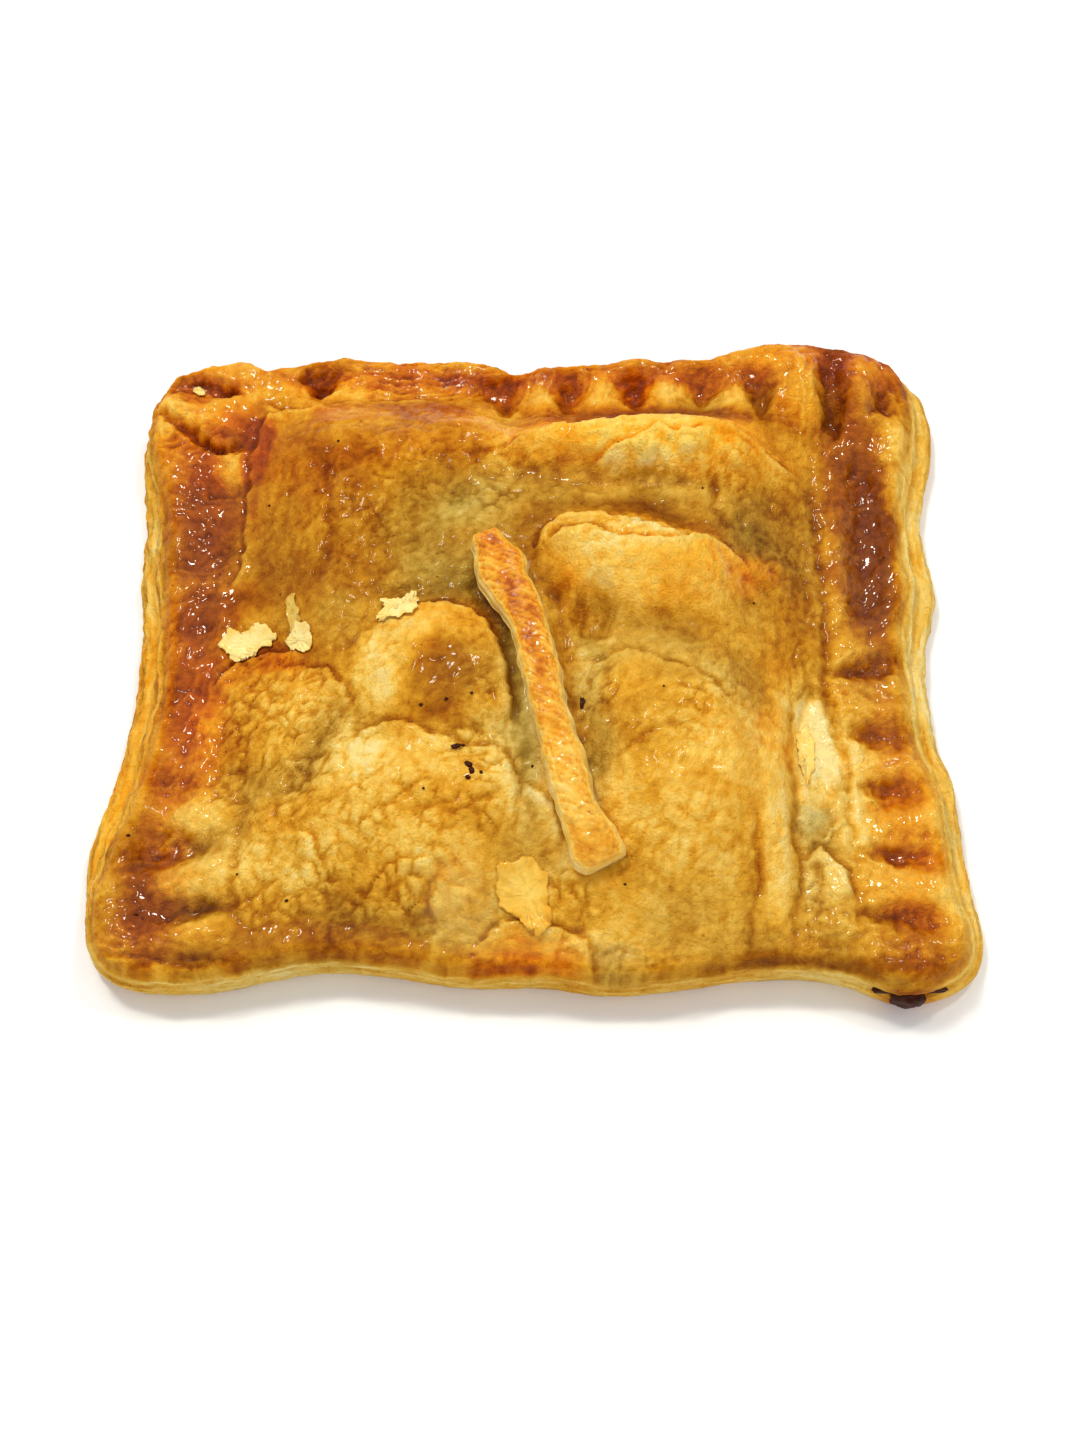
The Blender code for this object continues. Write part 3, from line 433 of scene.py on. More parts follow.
# How brown each place is baked: (x, y, radius, radius, amount, turn if any). Below 0 is paler.
LID_BAKE = 0.405
BROWNING = (
    # Back rim, from left to right
    (-78, 66, 5, 3, -0.06, -20), (-76, 68, 11, 10, 0.06), (-73, 70, 6, 5, -0.06),
    (-67, 71, 4, 2, 0.19, 10), (-66, 70, 6, 5, -0.10), (-49, 73, 4, 4, 0.26), (-45, 75, 14, 5, 0.11),
    (-45, 70, 8, 4, -0.15), (-43, 71, 12, 5.5, -0.10), (-28, 73, 13, 6, 0.15), (-28, 70, 24, 4, -0.12),
    (-15, 71, 8, 4, -0.03), (-15, 73, 6, 4, 0.18), (-8, 67.5, 6, 4, 0.26, 20), (-3, 75, 9, 3, 0.19),
    (0, 76.5, 62, 2.6, -0.12), (0, 69, 56, 4.5, -0.08), (2, 66, 4, 5, -0.08), (8, 69, 4, 5, 0.19),
    (14, 76.5, 12, 3, 0.18), (15, 68, 4.5, 5, -0.11), (15, 70, 8, 4, -0.05), (22.5, 69.5, 3, 4, 0.24),
    (30, 70, 8, 4, -0.06), (30, 69, 5, 5, -0.07), (34, 76, 12, 3.5, 0.14), (38.5, 70, 2.5, 3, 0.19),
    (40, 70, 12, 4, -0.05), (45, 67, 4, 5, -0.08), (50, 69, 5, 5, 0.21), (60, 66, 4, 10, -0.04, 4),
    (60, 74, 8, 6, 0.08), (67.5, 70, 3.4, 11, 0.29), (68, 77, 4.5, 3.5, 0.20), (70, 81, 14, 3, 0.16, -8),
    (70, 68, 8, 6, 0.10), (72, 80, 14, 6, 0.07), (74, 72, 4, 6, 0.02), (78, 69, 3, 4, 0.19),
    (84, 76, 5, 6, 0.10), (85, 73, 7, 8, 0.27),
    # Left rim, from back to front
    (-78, 63, 6, 4, -0.12), (-77, 62, 8, 7, -0.11), (-66, 60, 4, 4, 0.24), (-74, 54, 9, 6, 0.14),
    (-66, 52, 4, 4, -0.12), (-66, 50, 4, 7, -0.08), (-65, 50, 4, 6, -0.21), (-72, 42, 9, 9, 0.17),
    (-64, 42, 8, 16, -0.05), (-75, 40, 5, 12, 0.07), (-66, 38, 6, 8, 0.06), (-68, 34, 5, 6, 0.08),
    (-73, 28, 9, 9, 0.18), (-66, 21, 5, 3, -0.16, 20), (-66, 17, 6, 7.5, 0.18), (-73, 10, 8.5, 10, 0.19),
    (-64, 0, 5, 6, 0.10), (-72, 0, 8, 50, -0.06), (-73, -6, 8, 10, 0.18), (-64, -10, 5, 6, -0.08),
    (-67, -12, 5, 10, -0.10), (-74, -20, 7, 8, 0.17), (-74, -20, 5, 6, -0.08),
    (-70, -33.5, 8, 3.5, -0.10), (-66, -34, 8, 3, 0.08), (-85, -40, 6, 10, -0.06), (-80, -40, 5, 7, 0.18),
    (-70, -40, 7, 1.8, 0.16), (-63, -42, 5, 15, -0.08), (-68, -46, 8, 3.5, -0.10), (-66, -46, 8, 3, 0.10),
    (-78, -50, 6, 8, 0.19), (-68, -52.5, 8, 1.8, 0.16), (-75, -57, 5, 5, 0.15), (-64, -57, 9, 8, 0.07),
    (-66, -57.5, 7, 3, -0.10), (-66, -58, 8, 3, 0.09),
    # Right rim, from back to front
    (75, 60, 6, 6, 0.10), (68, 60, 6, 8, 0.10), (72, 50, 8, 8, 0.20), (63, 40, 3, 16, 0.06),
    (74, 40, 5, 9, 0.13), (73, 36, 7.5, 11, 0.26), (81, 36, 3.5, 34, -0.22), (66, 36, 3, 20, 0.14),
    (76, 34, 3, 20, 0.15), (71, 30, 8, 30, -0.05), (74, 24, 4, 16, 0.10), (71, 22, 8, 9, 0.22),
    (71, 13, 5, 5, 0.22), (68, 6, 8, 6, 0.06), (66, 4, 4, 3, -0.06), (68, -1.5, 4.5, 2.2, 0.11),
    (80, -14, 3.5, 22, -0.14), (69, -15, 4, 2.2, 0.12, -20), (65, -18, 5, 5, -0.10),
    (65, -22, 5.5, 10.5, -0.15), (71, -27, 4, 2.2, 0.12, -10), (78, -30, 6, 26, 0.15),
    (75, -30, 6, 14, -0.09), (66, -34, 4, 6, -0.14), (72, -40, 12, 12, -0.08), (71, -41, 4, 2.2, 0.12),
    (83, -42, 4, 18, -0.16), (68, -47, 6, 4, -0.10), (65, -50, 6, 5, 0.06), (70, -54, 3.6, 2.4, 0.10, 10),
    (78, -54, 6, 8, -0.12), (84, -56, 5, 8, -0.12), (63, -56, 12, 8, 0.06),
    # Front edge, from left to right
    (-80, -62, 9, 6, 0.06), (-68, -62.5, 8, 2, 0.16, -6), (-62, -60, 8, 4, 0.09),
    (-57, -70, 14, 4, -0.08), (-45, -60, 16, 5, 0.08), (-22, -63, 10, 5, 0.07), (-14, -61, 30, 4, -0.12),
    (0, -64, 12, 4, 0.13), (6, -66, 8, 3, -0.08), (8, -61, 8, 4, -0.10), (25, -71, 10, 3, -0.04),
    (30, -66, 16, 3, 0.06), (44, -64, 5, 2, 0.19), (55, -66, 12, 3, 0.05), (55, -64.5, 16, 1.8, 0.22),
    (55, -60, 8, 5, 0.06), (67, -71, 10, 4, -0.08), (68, -70, 10, 5, -0.10), (72, -66, 10, 3, 0.26),
    (78, -60, 10, 7, 0.16),
    # Left half of the lid, from back to front
    (-34, 64, 16, 3, 0.12), (-10, 62, 30, 6, -0.07), (-17, 62, 5, 7, 0.14), (-10, 60, 8, 5, -0.12),
    (-5, 60, 6, 4, -0.08), (-22, 55, 12, 7, 0.16), (-25, 53, 4, 3, -0.08), (-28, 53, 5, 4, 0.10),
    (-55, 52, 12, 12, 0.16), (-15, 50, 7, 5, 0.06), (-44, 50, 4, 3, -0.07), (-29, 50, 2, 3, 0.08),
    (-33, 50, 10, 6, 0.06), (-61, 50, 4, 14, 0.16, 4), (-45, 50, 14, 8, 0.09), (-58, 48, 7, 7, -0.06),
    (-25, 46, 14, 8, 0.08), (-36, 45, 5, 4, 0.13), (-22, 44, 3, 4, -0.07), (-45, 44, 3, 12, 0.12, 8),
    (-33, 43, 3, 3, -0.08), (-38, 38, 2, 7, 0.10, 8), (-27, 38, 3, 2, 0.07), (-46, 38, 8, 11, 0.14),
    (-37, 37, 4, 5, 0.11), (-15, 35, 9, 8, -0.07), (-45, 33, 4, 4, -0.08), (-15, 31, 7.5, 5, -0.13),
    (-30, 30, 34, 20, 0.08), (-30, 30, 10, 12, 0.04), (-18, 30, 10, 7, 0.06), (-53, 28, 12, 14, 0.05),
    (-38, 24, 8, 10, 0.12), (-58, 20, 12, 10, 0.09), (-25, 20, 6, 5, -0.07), (-59, 15, 6, 7, 0.08),
    (-40, 12, 10, 14, 0.10), (-56, 11, 6, 4.5, -0.17), (-52, 8, 12, 8, 0.09), (-8, 8, 6, 14, 0.10, 20),
    (-20, 5, 8, 4, -0.04), (-55, 3, 7, 5, 0.09), (-55, 1, 4, 4, 0.08), (-25, 1, 8, 6, -0.10),
    (-50, -1, 10, 4.5, 0.11), (-15, -6, 8, 8, 0.07), (-31, -9, 5, 12, -0.22, 10), (-17, -9, 8, 8, 0.24),
    (-62, -14, 7, 9, 0.10), (-38, -15, 5, 8, -0.14, 20), (-46, -16, 6, 9, -0.08), (-15, -18, 6, 4, 0.21),
    (-10, -19, 5, 4, -0.13), (-25, -19, 6, 4.5, 0.21), (-45, -20, 6, 5, 0.07), (-5, -20, 5, 6, -0.12),
    (-26, -20, 6, 4, 0.06), (-15, -20, 14, 5, -0.09), (-28, -22, 12, 4, -0.19), (-50, -26, 7, 6, -0.08),
    (-36, -27, 6, 5, -0.14), (-8, -30, 24, 6, -0.08), (-18, -32, 22, 8, -0.08), (-13, -33, 6, 7, 0.10),
    (-50, -34, 8, 8, 0.10), (-26, -38, 18, 8, 0.08), (-56, -40, 5, 6, -0.08), (-5, -40, 5, 5, 0.05),
    (-38, -42, 26, 8, -0.09), (-32, -44, 10, 5, -0.10), (-10, -44, 10, 8, 0.09), (-8, -46, 20, 8, -0.08),
    (-49, -46, 7, 7.5, -0.14), (-33, -48, 8, 6, 0.18), (-18, -50, 12, 6, 0.06), (-14, -50, 6, 4, 0.09),
    (-6, -52, 20, 8, -0.07), (-14, -53, 7, 7, -0.11),
    # Right half of the lid, from back to front
    (38, 64, 9, 3, -0.09), (15, 62, 10, 6, -0.06), (14, 61.5, 12, 4, 0.09), (0, 61, 8, 6, 0.14),
    (27, 61, 18.5, 3.5, 0.16), (34, 60.5, 14, 4, 0.17, -4), (30, 60.5, 12, 3, -0.20, -4),
    (30, 60, 10, 4, 0.12), (4, 60, 12, 3, -0.07), (20, 60, 34, 4, 0.17), (32, 59.5, 20, 3.4, 0.07),
    (30, 59, 10, 3, 0.07), (42, 56, 8, 4, -0.11, -20), (45, 51, 7, 5, 0.06), (37, 51, 12, 6, 0.05),
    (25, 49, 26, 7, -0.15, -4), (27, 48, 14.5, 5, -0.16), (4, 44, 12, 4, 0.12), (6, 41, 18, 5, -0.10),
    (24, 41, 14, 5, -0.05), (20, 41, 10, 4, -0.07), (38, 38, 7, 7, -0.04), (50, 36, 11, 14, 0.12),
    (10, 32, 14, 4, 0.08), (30, 31, 12, 4, 0.08, -8), (28, 30, 12, 4, 0.16, -10), (45, 22, 6, 14, 0.05),
    (18, 22, 12, 4, -0.14, -4), (38, 22, 8, 7, -0.06), (2, 20, 4, 12, 0.14, 20), (7, 19, 8, 4, -0.08, 20),
    (24, 19, 12, 5, -0.10), (22, 18, 12, 6, 0.08), (12, 16, 5, 6, -0.06), (40, 16, 5, 5, -0.10),
    (17, 14, 14, 9, -0.12), (18, 13, 5, 5, -0.04), (9, 11, 4, 7, 0.14), (36, 10, 6, 5, 0.06),
    (54, 6, 8, 12, 0.14), (25, 3, 14, 7, 0.02), (5, 1, 6, 6, 0.08), (25, 0, 6, 4, -0.12),
    (12, 0, 7.5, 5, -0.12), (6, -1, 6, 5, 0.07), (6, -2, 4, 8, -0.06), (-1, -6, 2, 10, -0.08, 8),
    (36, -8, 6, 6, -0.10), (5, -9, 6, 6, 0.07), (10, -10, 3.5, 14, -0.15, 8), (54, -10, 5, 6, -0.18),
    (42, -12, 8, 12, 0.06), (0, -14, 4, 16, -0.10, 4), (49, -14, 4, 10, 0.06), (58, -16, 4.5, 11, -0.35),
    (22, -19, 11, 10.5, 0.16), (5, -21, 5, 6, 0.06), (36, -24, 6, 10, 0.08), (18, -25, 6, 6, 0.15),
    (26, -28, 12, 12, -0.10), (38, -28, 9, 16, -0.11), (16, -28, 5, 8, -0.16), (48, -30, 5, 26, -0.07),
    (5, -30, 5, 8, -0.08), (52, -32, 4, 18, -0.12), (28, -34, 18, 8, 0.09), (56, -34.5, 3.8, 3.8, -0.16),
    (10, -38, 12, 8, -0.08), (58, -40, 4, 4, -0.06), (48, -40, 4, 22, -0.09), (30, -42, 22, 14, -0.06),
    (44, -42, 7.5, 11.5, 0.12), (57, -50, 4.5, 9, -0.08), (14, -50, 6, 6, 0.04), (32, -52, 14, 10, -0.06),
    (20, -58, 8, 5, -0.10),
)
RIM_BROWNING = 0.05
PRESS_BROWNING = 0.03
# Painted shade and light from the relief: nooks, creases and broad hollows are painted darker, crests and
# swells paler.
NOOK_SHADING = 0.21
CREASE_SHADING = 0.09
HOLLOW_SHADING = 0.10
# Uneven browning: (amount, wavelength, layer)
BLOTCHES = ((0.08, 14, 81), (0.08, 5, 82), (0.05, 2, 83))
WELL_BAKED = 0.55
BAKE_LEFT = 0.25
# Hue: above 0 warm orange, below 0 the grey green of underbaked dough.
LID_WARMTH = 0.06
HOLLOW_DAMPNESS = 0.30
WARMTH = (
    # Back rim, from left to right
    (-76, 66, 12, 12, 0.25), (-45, 74, 30, 6, 0.40), (-45, 68, 9, 5, 0.35), (0, 70, 62, 7, 0.30),
    (10, 75, 50, 6, 0.45), (22, 70, 9, 5, 0.35), (60, 78, 26, 6, 0.40), (75, 78, 16, 8, 0.19),
    (85, 72, 6, 8, 0.20),
    # Left rim, from back to front
    (-74, 60, 14, 22, 0.45), (-66, 50, 8, 16, 0.34), (-72, 0, 8.5, 35, 0.51), (-66, -10, 6, 12, 0.26),
    (-70, -22, 8, 22, 0.20), (-63, -44, 6, 14, -0.20), (-75, -48, 8, 14, 0.20),
    # Right rim, from back to front
    (68, 60, 12, 20, 0.22), (76, -38, 8.5, 24.5, 0.60),
    # Front edge, from left to right
    (-76, -60, 10, 6, 0.20), (-58, -62, 14, 4, -0.20), (-54, -70, 14, 4, -0.30), (-42, -61, 26, 6, -0.20),
    (0, -64, 13, 5, 0.50), (0, -71, 60, 4, -0.25), (16, -66, 5, 4, -0.40), (25, -70, 9, 4, -0.35),
    (50, -62, 20, 5, -0.35), (66, -70, 10, 4, -0.39),
    # Left half of the lid, from back to front
    (-14, 42, 8.5, 6.5, 0.41), (-12, 36, 16, 12, -0.61), (-15, 31, 7, 7, -0.30), (-28, 30, 12, 12, -0.30),
    (-40, 20, 30, 18, -0.22), (-15, 17, 12, 7, -0.60), (-60, 14, 7, 8, 0.34), (-40, 8, 6, 7, -0.45),
    (-20, 6, 10, 4, 0.30), (-55, 1, 7.5, 5, 0.63), (-14, -9, 8.5, 9.5, -0.63), (-44, -18, 8, 8, -0.35),
    (-50, -28, 8, 5, -0.30), (-30, -40, 30, 20, -0.16), (-14, -50, 6, 5, 0.20),
    # Right half of the lid, from back to front
    (20, 62, 40, 5, 0.54), (37, 62, 10, 6, -0.59), (30, 61, 16, 4, 0.30), (40, 56, 10, 5, 0.24, -20),
    (4, 54, 13, 5, 0.42, 10), (15, 51, 11, 5.5, 0.32), (26, 50, 26, 8, 0.60), (36, 48, 10, 8, 0.11),
    (30, 48, 22, 7, 0.30), (46, 42, 8, 8, 0.08), (-3, 42, 8, 6, 0.14), (24, 40, 12, 5, -0.11),
    (42, 36, 8, 10, -0.19), (48, 32, 9, 12, -0.24), (45, 27, 8, 6, -0.22), (38, 21, 9, 8, 0.49),
    (48, 19, 4, 3, 0.50), (45, 18, 8, 16, -0.31), (27, 16, 13, 7.5, 0.37), (10, 12, 5, 8, 0.39),
    (-4, 2, 4, 16, -0.72, 8), (30, -4, 14, 6, -0.40), (12, -8, 4, 14, -0.55, 6), (35, -8, 8, 6, -0.30),
    (45, -10, 7, 7, -0.40), (50, -14, 5, 12, 0.35), (25, -20, 9, 7, -0.30), (51, -20, 8, 12, 0.30),
    (30, -22, 9, 6, 0.15), (50, -22, 6, 6, 0.15), (30, -22, 20, 14, -0.12), (-1, -24, 4, 14, -0.70),
    (14, -26, 4, 8, -0.35), (56, -34.5, 3.8, 3.8, -0.60), (-4, -38, 6, 8, -0.20), (60, -40, 5, 24, -0.25),
    (5, -40, 7, 8, -0.30), (30, -50, 18, 16, -0.10),
)
# Egg glaze: (x, y, radius, radius, amount, turn if any)
LID_GLAZE = 0.14
GLAZING = (
    (-72, 50, 12, 30, 0.60), (-72, -5, 8, 40, 0.60), (-76, -52, 12, 18, 0.50), (0, 74, 90, 6, 0.50),
    (72, 30, 9, 40, 0.65), (74, -35, 10, 34, 0.45), (0, -65, 14, 5, 0.50), (-14, -53, 7, 8, 0.45),
    (4, 54, 13, 5, 0.25, 10), (-63, -44, 8, 16, 0.10), (-28, 34, 14, 14, -0.14), (38, 20, 10, 9, 0.20),
    (48, -30, 6, 30, 0.15), (16, -66, 5, 4, 0.30), (56, -34.5, 4, 4, 0.40), (72, 30, 8, 30, 0.15),
)


def line_distance(x, y, points):
    """Distance to a bent line, positive on its right, with the share of the way along it."""
    best = np.full(x.shape, 1e9)
    side = np.ones(x.shape)
    share = np.zeros(x.shape)
    points = np.array(points, float)[:, :2]
    lengths = np.hypot(*np.diff(points, axis=0).T)
    run = np.concatenate([[0], np.cumsum(lengths)]) / lengths.sum()
    for k, (a, b) in enumerate(zip(points, points[1:])):
        along = b - a
        t = np.clip(((x - a[0]) * along[0] + (y - a[1]) * along[1]) / (along @ along), 0, 1)
        dx, dy = x - a[0] - t * along[0], y - a[1] - t * along[1]
        away = np.hypot(dx, dy)
        near = away < best
        turn = np.sign(along[1] * (x - a[0]) - along[0] * (y - a[1]))
        best = np.where(near, away, best)
        side = np.where(near, turn, side)
        share = np.where(near, run[k] + t * (run[k + 1] - run[k]), share)
    return best * side, share


def swell(x, y, centre_x, centre_y, radius_x, radius_y, turn, height, fullness):
    """A rounded lump, or a dip where the height is negative."""
    c, s = math.cos(math.radians(turn)), math.sin(math.radians(turn))
    dx, dy = x - centre_x, y - centre_y
    away = np.hypot((dx * c + dy * s) / radius_x, (dy * c - dx * s) / radius_y)
    return height * (0.5 + 0.5 * np.cos(math.pi * np.clip(away, 0, 1) ** fullness))


def pressed(x, y, outer_x, outer_y, tip_x, tip_y, half_width, depth):
    """How far a finger has pushed the rim down, from 0 to 1, wide at the lip and pointed within."""
    along = np.array([tip_x - outer_x, tip_y - outer_y], float)
    length = np.hypot(*along)
    along /= length
    dx, dy = x - outer_x, y - outer_y
    share = (dx * along[0] + dy * along[1]) / length
    across = np.abs(dy * along[0] - dx * along[1])
    width = half_width * np.clip(1.3 - share, 0.3, 1.1)
    return (1 - ease(across, 0, 1.15 * width)) * ease(share, 0.02, 0.4) * (1 - ease(share, 0.7, 1.12))


def fold(x, y, points, half_width, depth):
    """A sunken line that fades at both ends."""
    away, share = line_distance(x, y, points)
    ends = ease(share, 0, 0.12) * (1 - ease(share, 0.88, 1))
    return -depth * ends * (1 - ease(np.abs(away), 0, half_width))


def torn_step(x, y, points, height, fade, width):
    """A step up on the right of a line, which sinks back to nothing over the fade, and its crease."""
    away, share = line_distance(x, y, points)
    ends = ease(share, 0, 0.1) * (1 - ease(share, 0.9, 1))
    curl = 0.30 * np.exp(-(((away - 0.9) / 0.9) ** 2))
    crease = ends * np.exp(-(((away + 0.6) / 0.6) ** 2))
    step = ease(away, -width / 2, width / 2) * (1 - ease(away, 0, fade * 2))
    return height * ends * (step + curl), crease


def wrinkles(x, y, centre_x, centre_y, radius_x, radius_y, turn, pitch, height):
    """Fine uneven ridges that run along the turn, within a soft-edged patch."""
    c, s = math.cos(math.radians(turn)), math.sin(math.radians(turn))
    along, across = (x * c + y * s), (y * c - x * s)
    lane = across / pitch + layered(along, across, (0.9, 6.5, centre_x), (0.35, 2.2, centre_y))
    ridge = 1 - np.abs(np.sin(math.pi * lane)) * 2
    broken = ease(waves(along / 3, across, 2.4, 90 + turn), -0.4, 0.2)
    near = ((x - centre_x) / radius_x) ** 2 + ((y - centre_y) / radius_y) ** 2
    return height * 0.5 * ridge * broken * np.exp(-(near**1.3))


def plate(x, y, outline):
    """How far inside a closed outline each place lies, from 0 to 1 across its torn edge."""
    inside = np.zeros(x.shape, bool)
    for (ax, ay), (bx, by) in zip(outline, outline[1:] + outline[:1]):
        level = (ay > y) != (by > y)
        inside ^= level & (x < ax + (y - ay) * (bx - ax) / ((by - ay) or 1))
    away, _ = line_distance(x, y, outline + outline[:1])
    return ease(np.where(inside, 1, -1) * np.abs(away), -0.45, 0.45)


def patch(x, y, centre_x, centre_y, radius_x, radius_y, amount, turn=0):
    """A soft-edged patch of colour or glaze."""
    c, s = math.cos(math.radians(turn)), math.sin(math.radians(turn))
    dx, dy = x - centre_x, y - centre_y
    away = ((dx * c + dy * s) / radius_x) ** 2 + ((dy * c - dx * s) / radius_y) ** 2
    return amount * np.exp(-(away**1.3))


def crazing(x, y, cell, layer):
    """Distance to the nearest crack of crazed dough, as a share of a cell."""
    bent_x = x + 0.35 * cell * waves(x, y, cell * 1.4, layer + 5)
    bent_y = y + 0.35 * cell * waves(x, y, cell * 1.4, layer + 9)
    gaps = [noise.voronoi(Vector((a, b, layer)))[0] for a, b in zip(bent_x / cell, bent_y / cell)]
    return np.array([gap[1] - gap[0] for gap in gaps])


def smoothed(field, cells):
    """A grid of values blurred over a number of cells each way."""
    spread = np.exp(-(np.linspace(-2, 2, 4 * cells + 1) ** 2) / 2)
    spread /= spread.sum()
    for axis in (0, 1):
        padded = np.pad(field, [(2 * cells, 2 * cells) if a == axis else (0, 0) for a in (0, 1)], "edge")
        parts = (np.roll(padded, shift - 2 * cells, axis) * part for shift, part in enumerate(spread))
        field = sum(parts).take(range(2 * cells, padded.shape[axis] - 2 * cells), axis)
    return field


def strip_shares():
    """Share of the strip's length at each point of its middle line."""
    steps = np.hypot(*np.diff(np.array(STRIP_LINE)[:, :2], axis=0).T)
    return np.concatenate([[0], np.cumsum(steps)]) / steps.sum()


def lid_surface(x, y, u, v):
    """Height of the lid's top over the table, with its looks, at places on the plan."""
    from_left, from_right = (1 + u) * NOMINAL_WIDTH / 2, (1 - u) * NOMINAL_WIDTH / 2
    from_front, from_back = (1 + v) * NOMINAL_DEPTH / 2, (1 - v) * NOMINAL_DEPTH / 2
    rise = ease(from_left, *RISE_LEFT) * ease(from_right, *RISE_RIGHT)
    rise = rise * ease(from_back, *RISE_BACK) * ease(from_front, *RISE_FRONT)
    z = RIM_HEIGHT + BACK_RIM_RISE * (1 - ease(from_back, 0, 40)) + LID_RISE * rise
    for form in SWELLS:
        z = z + swell(x, y, *form)
    ragged_x = x + layered(x, y, (0.9, 3.1, 21), (0.4, 1.2, 22))
    ragged_y = y + layered(x, y, (0.9, 3.1, 23), (0.4, 1.2, 24))
    finger = np.zeros(x.shape)
    for form in PRESSES:
        push = pressed(ragged_x, ragged_y, *form)
        finger = np.maximum(finger, push)
        z = z - PRESS_FIRMNESS * form[-1] * push
    creases = np.zeros(x.shape)
    for form in CHANNELS:
        z = z + fold(x, y, *form)
    bent_x, bent_y = ragged_x + 2.6 * waves(x, y, 13, 25), ragged_y + 2.6 * waves(x, y, 13, 26)
    for form in FOLDS:
        sunk = fold(bent_x, bent_y, *form)
        z = z + sunk
        creases = np.maximum(creases, np.clip(-sunk / form[-1], 0, 1) ** 4 * min(form[-1] / 2, 1))
    for form in STEPS + FINE_STEPS:
        raised, crease = torn_step(ragged_x, ragged_y, *form, STEP_WIDTH)
        z = z + raised - 0.55 * crease * min(abs(form[1]), 1)
        creases = np.maximum(creases, crease * min(abs(form[1]), 1))
    torn_x, torn_y = ragged_x + 1.4 * waves(x, y, 6, 27), ragged_y + 1.4 * waves(x, y, 6, 28)
    plates = [(plate(torn_x, torn_y, outline), *looks) for outline, *looks in PLATES]
    for share, height, *_ in plates:
        z = z + height * share
    for form in WRINKLES:
        z = z + wrinkles(x, y, *form)
    z = z + layered(x, y, *DOUGH_WAVES)

    rim = 1 - ease(np.minimum.reduce([from_left - 3, from_right - 3, from_back - 1, from_front + 9]), 8, 15)
    away, share = line_distance(x, y, STRIP_LINE)
    hold = 1 - ease(np.abs(away), SEAT_HALF, SEAT_HALF + SEAT_FADE)
    cracks_and_shade = np.zeros(x.shape)
    crazed = np.clip(0.12 + sum(patch(x, y, *form) for form in CRAZED), 0, 1) * (1 - 0.7 * rim)
    for layer, (cell, depth) in enumerate(CRAZE_CELLS):
        gap = crazing(x, y, cell, 31 + 10 * layer)
        broken = crazed * ease(waves(x, y, 1.6 * cell, 41 + layer), -0.45, 0.25)
        crack = 1 - ease(gap, 0, CRACK_WIDTH)
        z = z + broken * depth * (0.7 * ease(gap, 0, 0.9) - crack)
        cracks_and_shade = np.maximum(cracks_and_shade, broken * crack * (1 - 0.4 * layer))
    puffs = np.abs(waves(x, y, 3.4, 51)) + 0.6 * np.abs(waves(x, y, 1.7, 52))
    z = z + (0.45 * (1 - rim) + rim * (0.6 + 0.4 * finger)) * (1.1 * puffs - 0.4)
    z = z + layered(x, y, *GRAIN_WAVES) + rim * layered(x, y, *RIM_WAVES)

    field = z.reshape(LID_ROWS + 1, LID_COLUMNS + 1)
    nooks = (smoothed(field, 2) - field).ravel()
    hollows = (smoothed(field, 14) - smoothed(field, 3)).ravel()

    seat = curve_through([(s, h) for s, h in zip(strip_shares(), np.array(STRIP_LINE)[:, 2])], share)
    z = z * (1 - hold) + seat * hold
    edge = np.minimum.reduce([from_left, from_right, from_front, from_back])
    bend = 1 - np.clip(edge, 0, LIP_ROUND) / LIP_ROUND
    z = z - LIP_DROP * (1 - np.sqrt(1 - 0.98 * bend**2))
    matt_lip = 1 - 0.95 * ease(bend, 0.0, 0.6)

    drift_x = x + layered(x, y, (2.2, 9, 71), (1.0, 3.5, 72))
    drift_y = y + layered(x, y, (2.2, 9, 73), (1.0, 3.5, 74))
    bake = LID_BAKE + rim * (RIM_BROWNING + PRESS_BROWNING * finger)
    bake = bake + sum(patch(drift_x, drift_y, *form) for form in BROWNING)
    # Painted shade: darker in nooks, creases and hollows, and painted light: paler on crests and swells.
    bake = bake + np.clip(NOOK_SHADING * nooks, -0.10, 0.11) + CREASE_SHADING * creases
    bake = bake + np.clip(HOLLOW_SHADING * hollows, -0.06, 0.08)
    warmth = LID_WARMTH + sum(patch(drift_x, drift_y, *form) for form in WARMTH)
    warmth = warmth - HOLLOW_DAMPNESS * np.clip(hollows, -0.5, 1.5) * (1 - rim)
    glaze = LID_GLAZE + sum(patch(drift_x, drift_y, *form) for form in GLAZING)
    for share, _, browner, warmer, glossier in plates:
        bake, warmth, glaze = bake + share * browner, warmth + share * warmer, glaze + share * glossier
    bake = bake + layered(x, y, *BLOTCHES)
    darker = WELL_BAKED + BAKE_LEFT * np.tanh((bake - WELL_BAKED) / BAKE_LEFT)
    bake = np.where(bake > WELL_BAKED, darker, bake)
    # The crack look also takes painted shade in the nooks, darker where the lid dips.
    cracks_and_shade = np.clip(cracks_and_shade + 1.6 * nooks, 0, 1)
    return z, dict(bake=bake, warmth=warmth, glaze=np.clip(glaze, 0, 1) * matt_lip, cracks_and_shade=cracks_and_shade)


# Colours of baked puff pastry, from raw-looking dough to burnt, as seen in daylight.
BAKED_COLOURS = (
    (0.00, (255, 230, 156)), (0.18, (251, 206, 96)), (0.34, (232, 170, 48)), (0.50, (203, 134, 22)),
    (0.66, (168, 92, 6)), (0.82, (122, 52, 4)), (1.00, (54, 18, 8)),
)
WARM_COLOURS = (
    (0.00, (255, 214, 98)), (0.18, (254, 188, 52)), (0.34, (246, 156, 14)), (0.50, (224, 114, 0)),
    (0.66, (184, 74, 0)), (0.82, (128, 42, 0)), (1.00, (56, 16, 6)),
)
DAMP_COLOURS = (
    (0.00, (236, 218, 150)), (0.18, (218, 192, 110)), (0.34, (196, 164, 76)), (0.50, (166, 130, 46)),
    (0.66, (130, 92, 24)), (0.82, (92, 56, 12)), (1.00, (48, 26, 8)),
)


